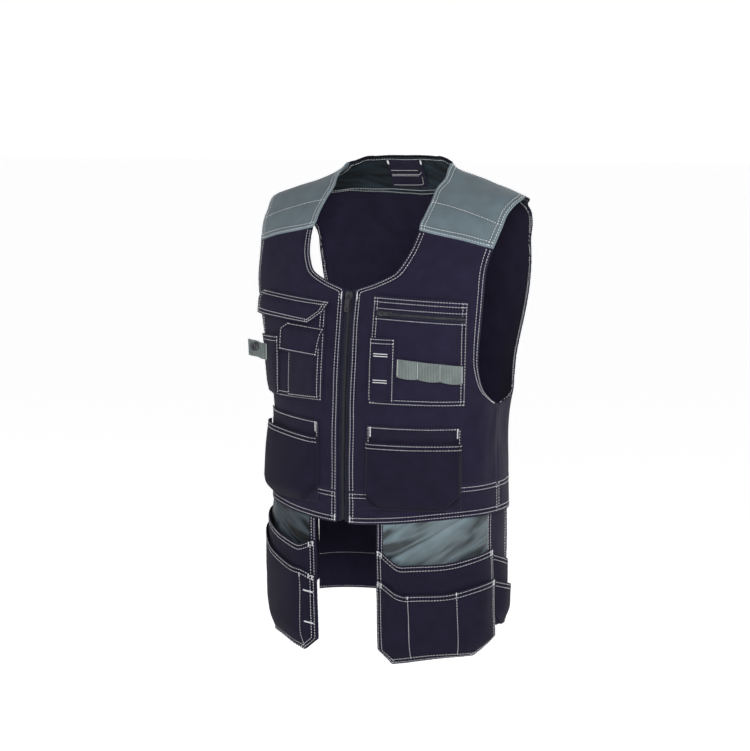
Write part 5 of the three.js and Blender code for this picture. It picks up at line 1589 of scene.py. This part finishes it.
# The pouch's name, depth, wave along the mouth and sewn edges.
HOLSTER_POUCHES = (("upper", 8, 1.2, ("top", "left", "right")),
                   ("lower", 10, 1.5, ("top", "left", "right", "bottom")))
for side, name in both("front_holster"):
    holster = HOLSTERS[side]
    cuts, (near, far) = holster["cuts"], holster["ends"]
    backing = Piece(name + "_backing_cloth", hanging(side, near, far, HOLSTER_LENGTH, cuts, HANG), PATCH,
                    [name + "_backing"], NAVY, seams=double(SIDES_ONLY), hems=hems(SIDES_ONLY, 10, 0.3))
    face = Face(backing)
    for d in DOUBLE:
        for edge in SIDES_ONLY:
            sew(thread_hang, face, backing.inset(edge, d))
    t, c = shares(34, 66)
    s = mix(near + 12, far - 12, c)
    z = hem_z(s) - mix(100, 1.5, t)
    rumple = np.sin(s / 13 + z / 17 + 2 * side) + 0.7 * np.sin(s / 23 - z / 12 + side)
    rumple += 0.5 * np.sin(s / 7.5 + z / 31)
    within = np.sin(t * math.pi) ** 0.5 * np.clip(9 * c * (1 - c), 0, 1)
    bend = mix(0.25, 1.5, smooth((t - 0.42) * 5)) * np.abs(rumple) * within
    Piece(name + "_lining_cloth", over_length(s, z, side, HANG + PATCH / 2 + GAP + LINING / 2 + bend),
          LINING,
          [name + "_lining"], SATIN[side], pucker=0)
    pieces = []
    for row, (part, depth, wave, edges) in enumerate(HOLSTER_POUCHES):
        grid = pouch(side, near, far, sagging(*holster["mouths"][row], near, far, wave),
                     lambda s: hem_z(s) - HOLSTER_LENGTH, HANG + STEP + row * STEP, depth, cuts, 45, 34,
                     extra=creased(holster["creases"], crumple(0.5, 1.4, 0.5)))
        pieces.append(Piece(f"{name}_{part}_cloth", grid, PATCH, [f"{name}_{part}_pouch"], NAVY_PAINTED_SHADE,
                            seams=double(edges), hems=[("top", 10, 0.5)]))
        face = sew_edges(thread_hang, pieces[-1], edges)
    for piece, mouth in zip(pieces, holster["mouths"]):
        mouth_z = sagging(*mouth, near, far)
        for s in (near + 4, near + 10, far - 4, far - 10):
            z = float(mouth_z(s)) - 5.5
            bar_tack(thread_hang, Face(piece), side, (s, z + 4), (s, z - 4), width=2, pitch=0.7)
    for s, drop in holster["dividers"]:
        z = float(hem_z(s))
        sew_places(thread_hang, face, side, [(s, z - drop), (s + 2, z - 216)])
        bar_tack(thread_hang, face, side, (s, z - drop), (s, z - drop - 6), width=1.8)
    for z in holster["tacks"]:
        bar_tack(thread_hang, face, side, (60, z), (76, z + 3), width=3)

# The pouch's name, drop of its mouth, fall of its mouth and depth.
SIDE_POUCHES = (("upper", 66, 24, 4), ("lower", 108, 22, 7))
for side, name in both("side_holster"):
    height = HANG - STEP
    cuts = ((22, 21), (30, 21))
    backing = Piece(name + "_backing_cloth", hanging(side, 255, 334, SIDE_HOLSTER_LENGTH, cuts, height),
                    PATCH,
                    [name + "_backing"], NAVY, seams=double(["right"]))
    sew_edges(thread_hang, backing, ["right"])
    for row, (part, top, fall, depth) in enumerate(SIDE_POUCHES):
        def slanted(s, top=top, fall=fall):
            return hem_z(s) - top - fall * (np.asarray(s, float) - 265) / 69
        grid = pouch(side, 265, 334, slanted, lambda s: hem_z(s) - SIDE_HOLSTER_LENGTH,
                     height + (row + 1) * STEP,
                     depth, cuts, 30, 34, extra=crumple(0.3, 1.2, 1.7))
        piece = Piece(f"{name}_{part}_cloth", grid, PATCH, [f"{name}_{part}_pouch"], NAVY_PAINTED_SHADE,
                      seams=double(["top", "right"]), hems=[("top", 10, 0.5)])
        sew_edges(thread_hang, piece, ["top", "right"])

TAIL_EDGE = 338
# Width and height in metres, measured along the tail's own cloth.
t, c = np.meshgrid(np.linspace(0, 1, 60), BACK_HALF, indexing="ij")
places = pair(mix(2, float(way_of(TAIL_EDGE, WAIST_Z)), c), mix(WAIST_Z - TAIL_LENGTH, WAIST_Z + TUCK, t))
grid = spanned(places, HANG + 0.7 * np.sin(c * 11) * (1 - t))
tail = Piece("tail_cloth", grid, PATCH, ["tail"], NAVY, seams=double(["bottom", "left", "right"]),
             hems=[("bottom", 10, 0.5)])
sew_edges(thread_back, tail, ("bottom", "left", "right"))
for d in (2.6, 60):
    inner_run(thread_inside, tail, "bottom", d)

for name, thread in (("front", thread_front), ("back", thread_back), ("inside", thread_inside),
                     ("label", thread_label), ("chest", thread_chest), ("lower_pocket", thread_lower),
                     ("holster", thread_hang)):
    thread.build(name + "_stitches")


# Floor, light and camera.
def floor_material():
    """Pale, with the brightness of a lit backdrop away from the object."""
    material = bpy.data.materials.new("pale_floor")
    material.use_nodes = True
    tree = material.node_tree
    shader = tree.nodes["Principled BSDF"]
    place = node(tree, "ShaderNodeTexCoord").outputs["Object"]
    away = node(tree, "ShaderNodeVectorMath", {0: place}, operation="LENGTH").outputs["Value"]
    glow = ramp(tree, maths(tree, "MULTIPLY", away, 0.25), [(0.16, even(0)), (0.29, even(1))])
    for key, value in (("Base Color", (*even(0.86), 1)), ("Roughness", 0.9),
                       ("Emission Color", (1, 1, 1, 1))):
        shader.inputs[key].default_value = value
    tree.links.new(maths(tree, "MULTIPLY", glow, 0.8), shader.inputs["Emission Strength"])
    return material


mesh = bpy.data.meshes.new("floor")
FLOOR_HALF, FLOOR_Z = 90, -1.35
corners = [(x * FLOOR_HALF, y * FLOOR_HALF, 0) for x, y in ((-1, -1), (1, -1), (1, 1), (-1, 1))]
mesh.from_pydata(corners, [], [(0, 1, 2, 3)])
mesh.materials.append(floor_material())
floor = bpy.data.objects.new("floor", mesh)
floor.location = (0, 0, FLOOR_Z)
bpy.context.scene.collection.objects.link(floor)

scene = bpy.context.scene
world = bpy.data.worlds.new("studio")
world.use_nodes = True
tree = world.node_tree
place = node(tree, "ShaderNodeTexCoord").outputs["Generated"]
way_up = node(tree, "ShaderNodeSeparateXYZ", {"Vector": place}).outputs["Z"]
sky = ramp(tree, maths(tree, "ADD", maths(tree, "MULTIPLY", way_up, 0.5), 0.5), [
    (0.0, even(0.3)), (0.4, even(1)), (0.56, even(1)), (0.64, (0.2, 0.2, 0.21)), (1.0, (0.12, 0.12, 0.13)),
])
tree.links.new(sky, tree.nodes["Background"].inputs["Color"])
tree.nodes["Background"].inputs["Strength"].default_value = 1.02
scene.world = world
scene.view_settings.view_transform = "Standard"


def area_light(name, place, target, size, power):
    light = bpy.data.lights.new(name, "AREA")
    light.size = size
    light.energy = power
    obj = bpy.data.objects.new(name, light)
    obj.location = place
    obj.rotation_euler = (Vector(target) - Vector(place)).to_track_quat("-Z", "Y").to_euler()
    scene.collection.objects.link(obj)


BODY_CENTRE = (0, 0, -0.3)
area_light("key", (1.5, -1.9, 0.75), (0, 0, -0.05), 1.0, 62)
area_light("left", (-2.6, -1.8, 0.9), (0, 0, -0.1), 1.2, 8)
area_light("back", (0.8, 2.8, 1.0), BODY_CENTRE, 2.0, 40)

# The camera stands in front, turned to the wearer's left. Lengths are in metres.
AZIMUTH = math.radians(33)
CAMERA_FAR, CAMERA_Z = 3.2, 0.084
PICTURE_WIDTH, PIXEL = 751, 0.0016
ASIDE = 15 * PIXEL
SENSOR = 36
camera_data = bpy.data.cameras.new("camera")
camera_data.sensor_width = SENSOR
camera_data.lens = SENSOR * (math.hypot(CAMERA_FAR, CAMERA_Z - BODY_CENTRE[2]) / PIXEL) / PICTURE_WIDTH
camera = bpy.data.objects.new("camera", camera_data)
camera.location = (math.sin(AZIMUTH) * CAMERA_FAR, -math.cos(AZIMUTH) * CAMERA_FAR, CAMERA_Z)
aim = Vector(BODY_CENTRE) - Vector((math.cos(AZIMUTH), math.sin(AZIMUTH), 0)) * ASIDE
camera.rotation_euler = (aim - camera.location).to_track_quat("-Z", "Y").to_euler()
scene.collection.objects.link(camera)
scene.camera = camera
